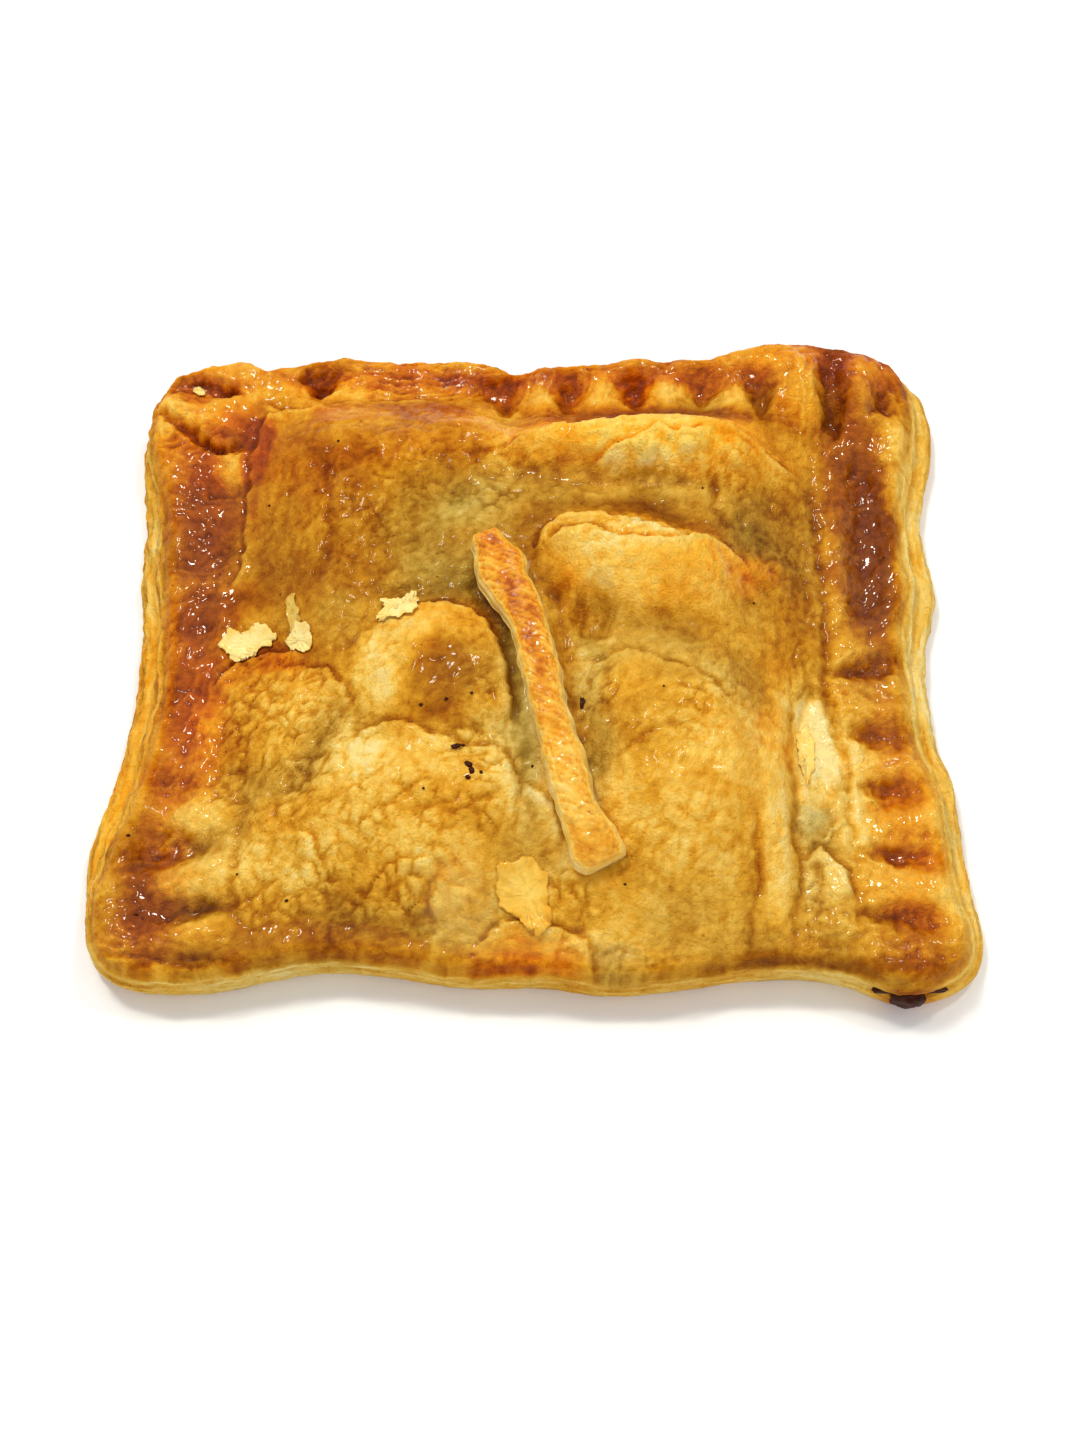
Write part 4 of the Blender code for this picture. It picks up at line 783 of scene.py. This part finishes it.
def daylight(red, green, blue):
    """A screen colour from 0 to 255 as the shader's linear colour."""
    parts = [part / 255 for part in (red, green, blue)]
    return [part / 12.92 if part < 0.04 else ((part + 0.055) / 1.055) ** 2.4 for part in parts] + [1]


def node(tree, kind, inputs=(), **settings):
    """A shader node with its settings, and a value or a link for each named input."""
    made = tree.nodes.new("ShaderNode" + kind)
    for name, value in settings.items():
        setattr(made, name, value)
    for name, value in dict(inputs).items():
        if isinstance(value, bpy.types.NodeSocket):
            tree.links.new(value, made.inputs[name])
        else:
            made.inputs[name].default_value = value
    return made


def colour_scale(tree, stops, value):
    """A ramp through the given colours."""
    ramp = node(tree, "ValToRGB", {"Fac": value})
    points = ramp.color_ramp.elements
    while len(points) < len(stops):
        points.new(0.5)
    for point, (position, colour) in zip(points, stops):
        point.position = position
        point.color = daylight(*colour)
    return ramp.outputs["Color"]


def sums(tree, operation, *values):
    """Adds, multiplies or otherwise joins values in turn."""
    total = values[0]
    for value in values[1:]:
        total = node(tree, "Math", {0: total, 1: value}, operation=operation).outputs[0]
    return total


def offset(tree, value, middle, *factors):
    """How far a value lies from its middle, scaled."""
    return sums(tree, "MULTIPLY", sums(tree, "SUBTRACT", value, middle), *factors)


def ranged(tree, value, low, high, start=0.0, end=1.0, **settings):
    """Runs from start to end as a value runs from low to high."""
    limits = {"Value": value, "From Min": low, "From Max": high, "To Min": start, "To Max": end}
    return node(tree, "MapRange", limits, **settings).outputs[0]


def clouds(tree, where, scale, detail, roughness, distortion=0.0):
    """A cloudy pattern from 0 to 1."""
    parts = {"Scale": scale, "Detail": detail, "Roughness": roughness, "Distortion": distortion}
    return node(tree, "TexNoise", {"Vector": where, **parts}).outputs["Fac"]


def make_pastry_finish():
    """Colour, gloss and fine grain of glazed puff pastry, from how brown, warm and glazed it is."""
    group = bpy.data.node_groups.new("pastry_finish", "ShaderNodeTree")
    for name in ("Bake", "Warmth", "Glaze", "Cracks_and_shade"):
        group.interface.new_socket(name, in_out="INPUT", socket_type="NodeSocketFloat")
    group.interface.new_socket("Colour", in_out="OUTPUT", socket_type="NodeSocketColor")
    for name in ("Roughness", "Coat", "Height"):
        group.interface.new_socket(name, in_out="OUTPUT", socket_type="NodeSocketFloat")
    given = group.nodes.new("NodeGroupInput").outputs
    result = group.nodes.new("NodeGroupOutput").inputs
    where = node(group, "TexCoord").outputs["Object"]

    blotches = clouds(group, where, 190, 8, 0.68, 1.2)
    grain = clouds(group, where, 1500, 4, 0.6)
    puckers = clouds(group, where, 620, 5, 0.62, 0.8)
    strands = clouds(group, where, 430, 3, 0.5, 2.4)
    glow = clouds(group, where, 95, 4, 0.6)
    from_middle = sums(group, "SUBTRACT", strands, 0.5)
    strand = node(group, "Math", {0: from_middle}, operation="ABSOLUTE").outputs[0]
    ridge = ranged(group, strand, 0.0, 0.125, 1.0, 0.0)
    blister = node(group, "TexVoronoi", {"Vector": where, "Scale": 420, "Randomness": 1.0}, feature="F1")
    blisters = blister.outputs["Distance"]
    islands = ranged(group, blotches, 0.42, 0.60, interpolation_type="SMOOTHSTEP")
    freckles = ranged(group, puckers, 0.50, 0.66, interpolation_type="SMOOTHSTEP")
    pores = ranged(group, blisters, 0.16, 0.06)
    calm = ranged(group, given["Glaze"], 0.0, 1.0, 1.0, 0.35)
    tone = sums(
        group, "ADD", given["Bake"],
        offset(group, islands, 0.5, calm, 0.09),
        offset(group, freckles, 0.3, calm, 0.05),
        offset(group, grain, 0.5, calm, 0.08),
        sums(group, "MULTIPLY", pores, freckles, 0.25),
        # Darker along real crack lines, and along the painted shade in nooks and grooves that the same look
        # carries.
        sums(group, "MULTIPLY", given["Cracks_and_shade"], 0.085),
    )
    plain = colour_scale(group, BAKED_COLOURS, tone)
    warm = colour_scale(group, WARM_COLOURS, tone)
    damp = colour_scale(group, DAMP_COLOURS, tone)
    warmth = sums(group, "ADD", given["Warmth"], offset(group, glow, 0.5, 0.7))
    warmer = node(group, "Mix", {0: warmth, 6: plain, 7: warm}, data_type="RGBA").outputs[2]
    dampness = sums(group, "MULTIPLY", warmth, -1.0)
    colour = node(group, "Mix", {0: dampness, 6: warmer, 7: damp}, data_type="RGBA").outputs[2]
    group.links.new(colour, result["Colour"])

    dullness = ranged(group, given["Glaze"], 0.0, 1.0, 0.60, 0.35)
    speckle = offset(group, grain, 0.5, 0.15)
    group.links.new(sums(group, "ADD", dullness, speckle), result["Roughness"])
    group.links.new(given["Glaze"], result["Coat"])
    height = sums(
        group, "ADD",
        sums(group, "MULTIPLY", blotches, 0.8),
        sums(group, "MULTIPLY", grain, 0.45),
        sums(group, "MULTIPLY", puckers, 1.1),
        sums(group, "MULTIPLY", ridge, 0.15),
        sums(group, "MULTIPLY", blisters, given["Glaze"], -1.5),
    )
    group.links.new(height, result["Height"])
    return group


PASTRY = {
    "Specular IOR Level": 0.15,
    "Specular Tint": (1.0, 0.75, 0.35, 1),
    "Coat Roughness": 0.08,
    "Coat IOR": 1.5,
    "Subsurface Weight": 0.12,
    "Subsurface Scale": 0.002,
    "Subsurface Radius": (1.0, 0.5, 0.2),
}


def pastry(name, finish, bump=0.0008):
    """Baked pastry that takes its colour and glaze from the looks stored on the mesh."""
    material = bpy.data.materials.new(name)
    material.use_nodes = True
    tree = material.node_tree
    shader = tree.nodes["Principled BSDF"]
    look = node(tree, "Group", node_tree=finish)
    for part in ("Bake", "Warmth", "Glaze", "Cracks_and_shade"):
        source = node(tree, "Attribute", attribute_name=part.lower())
        tree.links.new(source.outputs["Fac"], look.inputs[part])
    relief = node(tree, "Bump", {"Strength": 0.9, "Distance": bump, "Height": look.outputs["Height"]})
    tree.links.new(look.outputs["Colour"], shader.inputs["Base Color"])
    tree.links.new(look.outputs["Roughness"], shader.inputs["Roughness"])
    tree.links.new(look.outputs["Coat"], shader.inputs["Coat Weight"])
    tree.links.new(relief.outputs["Normal"], shader.inputs["Normal"])
    for part, value in PASTRY.items():
        shader.inputs[part].default_value = value
    return material


finish = make_pastry_finish()
crust_finish = pastry("crust", finish)

sheet, sheet_u, sheet_v = sheet_of_dough()
sheet_x, sheet_y = plan_places(sheet_u, sheet_v)
sheet_z, lid_looks = lid_surface(sheet_x, sheet_y, sheet_u, sheet_v)
place_all(sheet.verts, sheet_x, sheet_y, sheet_z)
order = rim_order(sheet)
rim = {"x": sheet_x[order], "y": sheet_y[order], "z": sheet_z[order]}
rim["outward"], rim["spread"] = side_spread(rim["x"], rim["y"], sheet_u[order], sheet_v[order])


# Colour of the leaves at the side, which differs round the pie, with painted light on the front side: (x,
# y, radius, bake, warmth).
SIDE_BAKE = 0.30
SIDE_GLAZE = 0.06
SIDE_COLOURS = (
    (-84, -32, 22, -0.12, 1.15), (-82, 4, 12, 0.02, 0.70), (-84, 34, 22, -0.10, 0.12),
    (86, 40, 26, -0.22, 0.12), (82, 0, 18, -0.20, 0.12), (86, -45, 22, -0.14, 0.40),
    # Paler front side near (60, -67) and (-52, -67): partly the leaves' own pale colour, partly painted
    # light on the front.
    (73, -70, 5, 0.60, 0.30), (60, -67, 14, -0.12, -0.30), (0, -67, 40, 0.00, -0.15),
    (-52, -67, 20, -0.14, -0.50), (0, 80, 70, 0.22, 0.40), (-70, 78, 20, 0.16, 0.40),
)


def side_looks(rim, share, groove):
    """Bake, warmth, glaze and crack looks for one ring of the side, with painted shade in the leaf grooves.
    """
    bake = np.full(rim["x"].shape, SIDE_BAKE)
    warmth = np.zeros(rim["x"].shape)
    for centre_x, centre_y, radius, browner, warmer in SIDE_COLOURS:
        near = np.exp(-((rim["x"] - centre_x) ** 2 + (rim["y"] - centre_y) ** 2) / radius**2)
        bake = bake + browner * near
        warmth = warmth + warmer * near
    number = np.floor(leaf_count(rim, share))
    streaks = np.array([
        noise.noise(Vector((a / 9, b / 9, leaf_seed * 2.7)))
        for a, b, leaf_seed in zip(rim["x"], rim["y"], number)
    ])
    # The groove terms are painted shade in the grooves between leaves; the foot of the side is also darker.
    bake = bake + 0.22 * streaks + 0.10 * groove + 0.10 * (1 - ease(share, 0, 0.15))
    return dict(bake=bake, warmth=warmth, glaze=np.full(bake.shape, SIDE_GLAZE), cracks_and_shade=groove * 0.8)


mesh = sheet
mesh.verts.ensure_lookup_table()
ring = [mesh.verts[i] for i in order]
lid_shares = np.linspace(1, LID_SKIRT_FOOT, LID_SKIRT_ROWS + 1)[1:]
rows = []
for share in lid_shares:
    ring = ring_below(mesh, ring)
    groove = place_ring(ring, rim, share)
    rows.append((ring, share, groove))
ring = ring_below(mesh, ring)
place_ring(ring, rim, LID_SKIRT_FOOT, tuck=BASE_TUCK)
rows.append((ring, LID_SKIRT_FOOT, np.zeros(len(ring))))
close_ends(mesh)
mesh.verts.index_update()
looks = {name: np.zeros(len(mesh.verts)) for name in lid_looks}
for name, values in lid_looks.items():
    looks[name][: len(values)] = values
edge_looks = {name: values[order] for name, values in lid_looks.items()}
for ring, share, groove in rows:
    where = [vertex.index for vertex in ring]
    side = side_looks(rim, share, groove)
    turn_under = ease(1 - share, 0.02, 0.22)
    for name in looks:
        looks[name][where] = edge_looks[name] * (1 - turn_under) + side[name] * turn_under
lid = finished("lid", mesh, crust_finish, **looks)
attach(lid, "root")
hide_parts("crust")

mesh = bmesh.new()
ring = bmesh.ops.create_circle(mesh, segments=len(order), radius=1)["verts"]
base_shares = np.concatenate([[BASE_TOP], np.linspace(BASE_TOP, 0, BASE_ROWS)])
rows = []
for number, share in enumerate(base_shares):
    if number:
        ring = ring_below(mesh, ring)
    groove = place_ring(ring, rim, share, tuck=0 if number else BASE_TUCK)
    rows.append((ring, share, groove))
close_ends(mesh)
mesh.verts.index_update()
looks = {name: np.zeros(len(mesh.verts)) for name in lid_looks}
for ring, share, groove in rows:
    where = [vertex.index for vertex in ring]
    for name, values in side_looks(rim, share, groove).items():
        looks[name][where] = values
base = finished("base", mesh, crust_finish, **looks)
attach(base, "root")
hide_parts("crust")


# Loose flakes. Thin pale leaves of pastry that have lifted off the lid and lie on it, some on their
# edge. Each is a ring stack over a torn outline, laid on the lid and curled up at one side.
FLAKE_THICKNESS = 0.28
FLAKE_RINGS = (0.12, 0.34, 0.56, 0.78, 0.92, 1.0)
FLAKE_POINTS = 90
# (outline, lift, curl, uphill direction in degrees, tear, bake, warmth, glaze)
FLAKES = (
    (((-66, 5.5), (-64, 9), (-61, 8), (-58, 9.5), (-53.5, 6.5), (-54.5, 4), (-59, 2.5), (-63.5, 3.5)),
     0.4, 1.6, 90, 1.0, 0.02, 0, 0.3),
    (((-63, 4), (-61, 5), (-58, 3), (-60, 1), (-63, 1.5)), 1.0, 1.2, 200, 0.6, -0.06, 0, 0.3),
    (((-51, 4), (-49, 7), (-47, 6), (-45, 3), (-47, 0), (-50, 1)), 0.5, 1.2, 60, 0.8, -0.02, 0, 0.3),
    (((-51.5, 14.5), (-50, 15), (-48.8, 11), (-48, 7), (-50, 6), (-51.5, 10)),
     0.25, 0.5, 20, 0.6, 0.26, -0.5, 0.6),
    (((-33, 5), (-30.5, 8), (-31, 10), (-27, 9.5), (-24, 12), (-22.5, 8.5), (-25, 5.5), (-28, 3.5)),
     0.6, 1.5, 100, 1.2, 0.02, 0.1, 0.3),
    (((-28, 8), (-26, 11), (-24, 11), (-25, 8)), 0.9, 1.2, 80, 0.5, -0.02, 0, 0.3),
    (((-7, -47), (-3, -45.5), (0, -45), (3, -48), (3, -52), (3.5, -58), (1, -60), (-2, -57), (-5, -55),
      (-7, -52)), 0.3, 0.8, 250, 0.7, 0.22, 0.15, 0.5),
    (((-77, 71), (-75.5, 72), (-74, 71), (-74, 69.5), (-75.5, 69.5)), 0.5, 0.3, 90, 0.3, 0, 0.2, 0.4),
    (((54, -15), (56.5, -12), (58, -16), (57.5, -22), (55.5, -27), (54, -22)),
     0.2, 0.3, 180, 0.5, 0.08, 0.4, 0.3),
)


def lid_height(x, y):
    """Height of the lid's top at places on the plan, from its nearest vertices."""
    found = []
    for a, b in zip(x, y):
        near = np.argmin((sheet_x - a) ** 2 + (sheet_y - b) ** 2)
        found.append(sheet_z[near])
    return np.array(found)


def torn_outline(points, tear, seed):
    """The outline of a flake, evenly spaced and torn in and out."""
    corners = np.array(points + points[:1], float)
    run = np.concatenate([[0], np.cumsum(np.hypot(*np.diff(corners, axis=0).T))])
    at = np.linspace(0, run[-1], FLAKE_POINTS, endpoint=False)
    x, y = np.interp(at, run, corners[:, 0]), np.interp(at, run, corners[:, 1])
    torn_x = tear * layered(x, y, (1, 2.4, seed), (0.7, 0.9, seed + 1))
    torn_y = tear * layered(x, y, (1, 2.4, seed + 2), (0.7, 0.9, seed + 3))
    return x, y, torn_x, torn_y


mesh = bmesh.new()
looks = {name: [] for name in lid_looks}
for number, (outline, lift, curl, uphill, tear, bake, warmth, glaze) in enumerate(FLAKES):
    outline_x, outline_y, torn_x, torn_y = torn_outline(outline, tear, 100 + 5 * number)
    middle = np.array([outline_x.mean(), outline_y.mean()])
    rise_x, rise_y = math.cos(math.radians(uphill)), math.sin(math.radians(uphill))
    reach = np.hypot(outline_x - middle[0], outline_y - middle[1]).max()
    ring = bmesh.ops.create_circle(mesh, segments=FLAKE_POINTS, radius=1)["verts"]
    for side in (1, 0):
        for share in FLAKE_RINGS if side else FLAKE_RINGS[::-1]:
            x = middle[0] + share * (outline_x - middle[0]) + share**5 * torn_x
            y = middle[1] + share * (outline_y - middle[1]) + share**5 * torn_y
            if not (side and share == FLAKE_RINGS[0]):
                ring = ring_below(mesh, ring)
            slope = ((x - middle[0]) * rise_x + (y - middle[1]) * rise_y) / reach
            z = lid_height(x, y) + lift + curl * np.clip(slope + 0.3, 0, 2) ** 2
            z = z + 0.2 * waves(x, y, 2.0, 7) + FLAKE_THICKNESS * side
            place_all(ring, x, y, z)
            looks["bake"].extend(bake + 0.10 * share**3 + 0.10 * waves(x, y, 1.5, 9))
            looks["warmth"].extend(np.full(len(x), warmth))
            looks["glaze"].extend(np.full(len(x), glaze))
            looks["cracks_and_shade"].extend(np.zeros(len(x)))
close_ends(mesh)
flakes = finished("flakes", mesh, pastry("flakes", finish, 0.0003), **looks)
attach(flakes, "root")


# Burnt specks. Crumbs and drops of glaze that have burnt black on the hottest lumps of the lid.
# Each is a small rough lump pressed into the pastry.

# Burnt dots on the lid: (x, y, length, width, turn)
SPECKS = (
    (-22, -16, 0.9, 0.7, 0), (-17, -15, 0.8, 0.6, 30), (-12, -13.5, 0.7, 0.5, 0),
    (-15, -24.5, 2.2, 1.2, 10),
    (-13.6, -23.9, 0.9, 0.8, 0), (-12.5, -28.4, 1.4, 1.6, 60), (-11.8, -29.8, 1.3, 1.6, 0),
    (-12.5, -31.4, 1.1, 0.9, 0), (-10, -30, 0.8, 0.8, 0), (10, -13, 2.8, 1.2, 80), (0, -27, 0.6, 0.6, 0),
    (2.5, -18, 0.7, 0.6, 0), (4.5, -19.5, 0.6, 0.5, 0), (4.5, -21, 0.5, 0.5, 0), (20, 60, 0.9, 0.6, 0),
    (18, 46, 0.6, 0.5, 0), (18, -50, 0.6, 0.5, 0), (-48, -52, 0.7, 0.6, 0), (-58, -46.5, 0.6, 0.5, 0),
    (-21, -34, 0.6, 0.5, 0), (-78, -53.5, 1.0, 0.7, 0), (-81, -37, 0.8, 0.6, 0), (36, 38, 0.5, 0.5, 0),
    (46, 12, 0.5, 0.4, 0), (26, -12, 0.5, 0.4, 0), (-42, 50, 0.6, 0.5, 0), (-57, 38, 0.5, 0.5, 0),
)

# Burnt drips on the front corner: (x, y, height over the table, length, width, depth, turn)
DRIPS = (
    (73.6, -68.9, 5.4, 7.0, 3.2, 6.0, -4), (70, -67.0, 7.0, 7.0, 2.4, 2.6, 8),
    (77.5, -67.0, 7.2, 7.0, 2.4, 2.6, -6),
)
BURNT = {"bake": 1.05, "warmth": 0.7, "glaze": 0.12, "cracks_and_shade": 0.0}


def turned(x, y, length, width, turn, along, across):
    """Place on the plan of a point of a lump that is stretched and turned."""
    c, s = math.cos(math.radians(turn)), math.sin(math.radians(turn))
    return x + length * along * c - width * across * s, y + length * along * s + width * across * c


mesh = bmesh.new()
spots = np.array(SPECKS)
for (x, y, length, width, turn), height in zip(SPECKS, lid_height(spots[:, 0], spots[:, 1])):
    crumb = bmesh.ops.create_icosphere(mesh, subdivisions=2, radius=0.5)["verts"]
    for vertex in crumb:
        rough = 1 + 0.5 * noise.noise(vertex.co * 5 + Vector((x, y, 0)))
        along, across, up = vertex.co * rough
        place(vertex, *turned(x, y, length, width, turn, along, across), height + 0.1 + up * 0.6)
for x, y, z, length, width, depth, turn in DRIPS:
    drip = bmesh.ops.create_icosphere(mesh, subdivisions=4, radius=0.5)["verts"]
    for vertex in drip:
        rough = 1 + 0.20 * noise.noise(vertex.co * 4 + Vector((x, y, 0)))
        along, across, up = vertex.co * (rough + 0.05 * noise.noise(vertex.co * 13))
        place(vertex, *turned(x, y, length, width, turn, along, across), z + depth * up)
looks = {name: [value] * len(mesh.verts) for name, value in BURNT.items()}
specks = finished("burnt_specks", mesh, pastry("burnt", finish, 0.0002), **looks)
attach(specks, "root")


# Strip. An offcut of dough laid in the dip of the lid and baked there. It is cut with a knife, so
# its top is glazed and flat and its two sides show pale layers. Its top end is crumpled.
STRIP_GAP = 0.35
STRIP_HEIGHT = 5.6
STRIP_HALF_WIDTHS = (
    (0, 3.9), (0.06, 4.9), (0.13, 5.2), (0.25, 4.3), (0.45, 3.8), (0.7, 3.9), (0.88, 4.5), (0.95, 5.2),
    (1, 4.9),
)
STRIP_STATIONS = 260
STRIP_SIDES = 96
STRIP_SQUARENESS = 0.46
STRIP_TAPER = 0.26
STRIP_LEAN = 0.6
STRIP_BAKE = 0.12
STRIP_RUN = 80.0
# Bites and bulges of its two sides: (share of the length, side, how far out, reach)
STRIP_BULGES = (
    (0.03, -1, -1.4, 0.04), (0.10, -1, 1.0, 0.04), (0.06, 1, -0.8, 0.04), (0.33, -1, -0.6, 0.05),
    (0.42, 1, 0.5, 0.05), (0.60, 1, -0.5, 0.05), (0.72, -1, 0.5, 0.05), (0.96, 1, 1.0, 0.03),
    (0.86, -1, -0.5, 0.04),
)
# Brown and pale places of its top: (share of the length, place across, reach, reach across, amount)
STRIP_BROWNING = (
    (0.04, 0.3, 0.04, 0.6, 0.16), (0.10, -0.4, 0.04, 0.5, 0.10), (0.18, 0.1, 0.04, 0.4, 0.22),
    (0.25, 0.3, 0.03, 0.4, 0.16), (0.30, -0.3, 0.04, 0.4, 0.16), (0.37, 0.2, 0.05, 0.4, 0.22),
    (0.46, -0.1, 0.05, 0.4, 0.18),
    (0.55, 0.2, 0.04, 0.4, 0.08), (0.66, -0.2, 0.07, 0.5, 0.02), (0.80, 0.1, 0.08, 0.6, -0.04),
    (0.93, 0.6, 0.03, 0.5, 0.12), (0.97, -0.2, 0.03, 0.9, 0.12), (0.72, 0.3, 0.08, 0.6, -0.08),
    (0.12, 0.3, 0.06, 0.4, -0.06),
)


def strip_section(turn):
    """Across and up for an angle round the strip's section: flat below and on top, sides aslant."""
    across = math.copysign(abs(math.cos(turn)) ** STRIP_SQUARENESS, math.cos(turn))
    up = math.copysign(abs(math.sin(turn)) ** STRIP_SQUARENESS, math.sin(turn))
    return across * (1 - STRIP_TAPER * max(up, 0)), 0.5 + 0.5 * up


line = np.array(STRIP_LINE)
stations = np.linspace(0, 1, STRIP_STATIONS)
centre = np.array([curve_through(list(zip(strip_shares(), line[:, k])), stations) for k in range(3)])
heading = np.gradient(centre[:2], axis=1)
heading /= np.hypot(*heading)
half = curve_through(STRIP_HALF_WIDTHS, stations)
mesh = bmesh.new()
ring = bmesh.ops.create_circle(mesh, segments=STRIP_SIDES, radius=1)["verts"]
turns = [math.atan2(vertex.co.y, vertex.co.x) for vertex in ring]
section = np.array([strip_section(turn) for turn in turns]).T
top = ease(section[1], 0.62, 0.97)
looks = {name: [] for name in lid_looks}
for k, station in enumerate(stations):
    if k:
        ring = ring_below(mesh, ring)
    round_off = math.sqrt(1 - (1 - min(min(k, STRIP_STATIONS - 1 - k) / 9, 1)) ** 2 * 0.30)
    side = section[0] * half[k] * round_off
    for at, edge, further, reach in STRIP_BULGES:
        bulge = further * math.exp(-(((station - at) / reach) ** 2))
        side = side + edge * bulge * np.clip(section[0] * edge, 0, 1)
    runs = np.full(STRIP_SIDES, STRIP_RUN * station)
    side = side + 0.5 * waves(runs, section[0], 3.0, 3) * section[0]
    side = side + STRIP_LEAN * (section[1] - 0.5) * ease(station, 0.2, 0.5)
    x = centre[0, k] + heading[1, k] * side
    y = centre[1, k] - heading[0, k] * side
    layers = 0.22 * np.sin(section[1] * 34 + 2 * waves(x, y, 4, 5)) * (1 - top) * (section[1] > 0.05)
    layers = layers * np.sign(section[0])
    x, y = x + heading[1, k] * layers, y - heading[0, k] * layers
    creased = np.abs(waves(runs + side, side * 0.4, 2.1, 11)) + 0.6 * np.abs(waves(runs, side, 1.1, 12))
    lumps = layered(x, y, (0.9, 7, 13), (0.5, 3, 14))
    z = centre[2, k] + STRIP_GAP + section[1] * STRIP_HEIGHT * (round_off * top + 1 - top)
    z = z + top * ((1.2 * creased - 0.5) * (1.1 - 0.6 * station) + 0.6 * lumps)
    place_all(ring, x, y, z)
    bake = STRIP_BAKE + (0.28 - 0.14 * station) * top
    bake = bake + 0.10 * waves(x, y, 3, 1) + 0.10 * waves(x, y, 1.2, 2) * top
    # Painted light: the tops of the wrinkles are paler.
    bake = bake - 0.16 * creased * top * (1.2 - 0.9 * station)
    for at, across, reach, reach_across, amount in STRIP_BROWNING:
        near = ((station - at) / reach) ** 2 + ((section[0] - across) / reach_across) ** 2
        bake = bake + amount * np.exp(-near) * top
    # Painted shade: the grooves between wrinkles are darker, and the crack look given to them below is also
    # painted shade.
    bake = bake + 0.20 * np.clip(0.7 - creased * 2.4, 0, 1) * top * (1.3 - 1.0 * station)
    looks["bake"].extend(bake)
    looks["warmth"].extend(0.10 + (0.60 - 0.35 * station) * top)
    looks["glaze"].extend(0.25 + 0.45 * top)
    looks["cracks_and_shade"].extend(np.clip(0.6 - creased * 2, 0, 1) * top)
close_ends(mesh)
strip = finished("strip_dough", mesh, pastry("strip", finish, 0.0005), **looks)
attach(strip, "root")
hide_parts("strip")


# Table, light and camera. A white table top lit by wide soft lamps, seen from high in front.
CAMERA_HEIGHT_ANGLE = 64
CAMERA_PLACE = (2.09, -178.98, 354.15)
CAMERA_LENS = 45.87
TABLE_SIDE = 3.0

table = bmesh.new()
bmesh.ops.create_grid(table, x_segments=1, y_segments=1, size=TABLE_SIDE / 2)
table_data = bpy.data.meshes.new("table")
table.to_mesh(table_data)
table.free()
table_top = bpy.data.objects.new("table", table_data)
white = bpy.data.materials.new("white_table")
white.use_nodes = True
white.node_tree.nodes["Principled BSDF"].inputs["Base Color"].default_value = (0.93, 0.93, 0.93, 1)
white.node_tree.nodes["Principled BSDF"].inputs["Roughness"].default_value = 0.7
table_data.materials.append(white)
bpy.context.scene.collection.objects.link(table_top)


PANE_COLOUR = (0.96, 0.94, 0.83)


def lamp(name, place, side, power, mirrored):
    """A square lamp turned to the pie, with or without a mirror image in the glaze."""
    data = bpy.data.lights.new(name, "AREA")
    data.shape = "SQUARE"
    data.size = side
    data.energy = power
    data.color = PANE_COLOUR if mirrored else (1, 1, 1)
    made = bpy.data.objects.new(name, data)
    made.location = place
    made.rotation_euler = (-Vector(place)).to_track_quat("-Z", "Y").to_euler()
    made.visible_glossy = mirrored
    bpy.context.scene.collection.objects.link(made)


lamp("window", (-0.26, 0.42, 0.85), 0.40, 2.6, False)
lamp("left_pane", (-0.30, 0.36, 0.87), 0.13, 3.3, True)
lamp("ceiling", (0.35, 0.1, 1.0), 0.9, 1.5, False)
lamp("front_card", (0.1, -0.8, 0.45), 0.8, 2.4, False)
lamp("right_pane", (0.34, 0.36, 0.85), 0.10, 1.9, True)

world = bpy.data.worlds.new("room")
world.use_nodes = True
world.node_tree.nodes["Background"].inputs["Color"].default_value = (1, 1, 1, 1)
world.node_tree.nodes["Background"].inputs["Strength"].default_value = 0.40
scene = bpy.context.scene
scene.world = world
scene.view_settings.view_transform = "Standard"

camera_data = bpy.data.cameras.new("camera")
camera_data.sensor_fit = "VERTICAL"
camera_data.sensor_height = 36
camera_data.lens = CAMERA_LENS
camera_data.clip_start = 0.01
camera = bpy.data.objects.new("camera", camera_data)
camera.location = [(CAMERA_PLACE[k] - (*PLAN_CENTRE, 0)[k]) * MM for k in range(3)]
camera.rotation_euler = (math.radians(90 - CAMERA_HEIGHT_ANGLE), 0, 0)
scene.collection.objects.link(camera)
scene.camera = camera
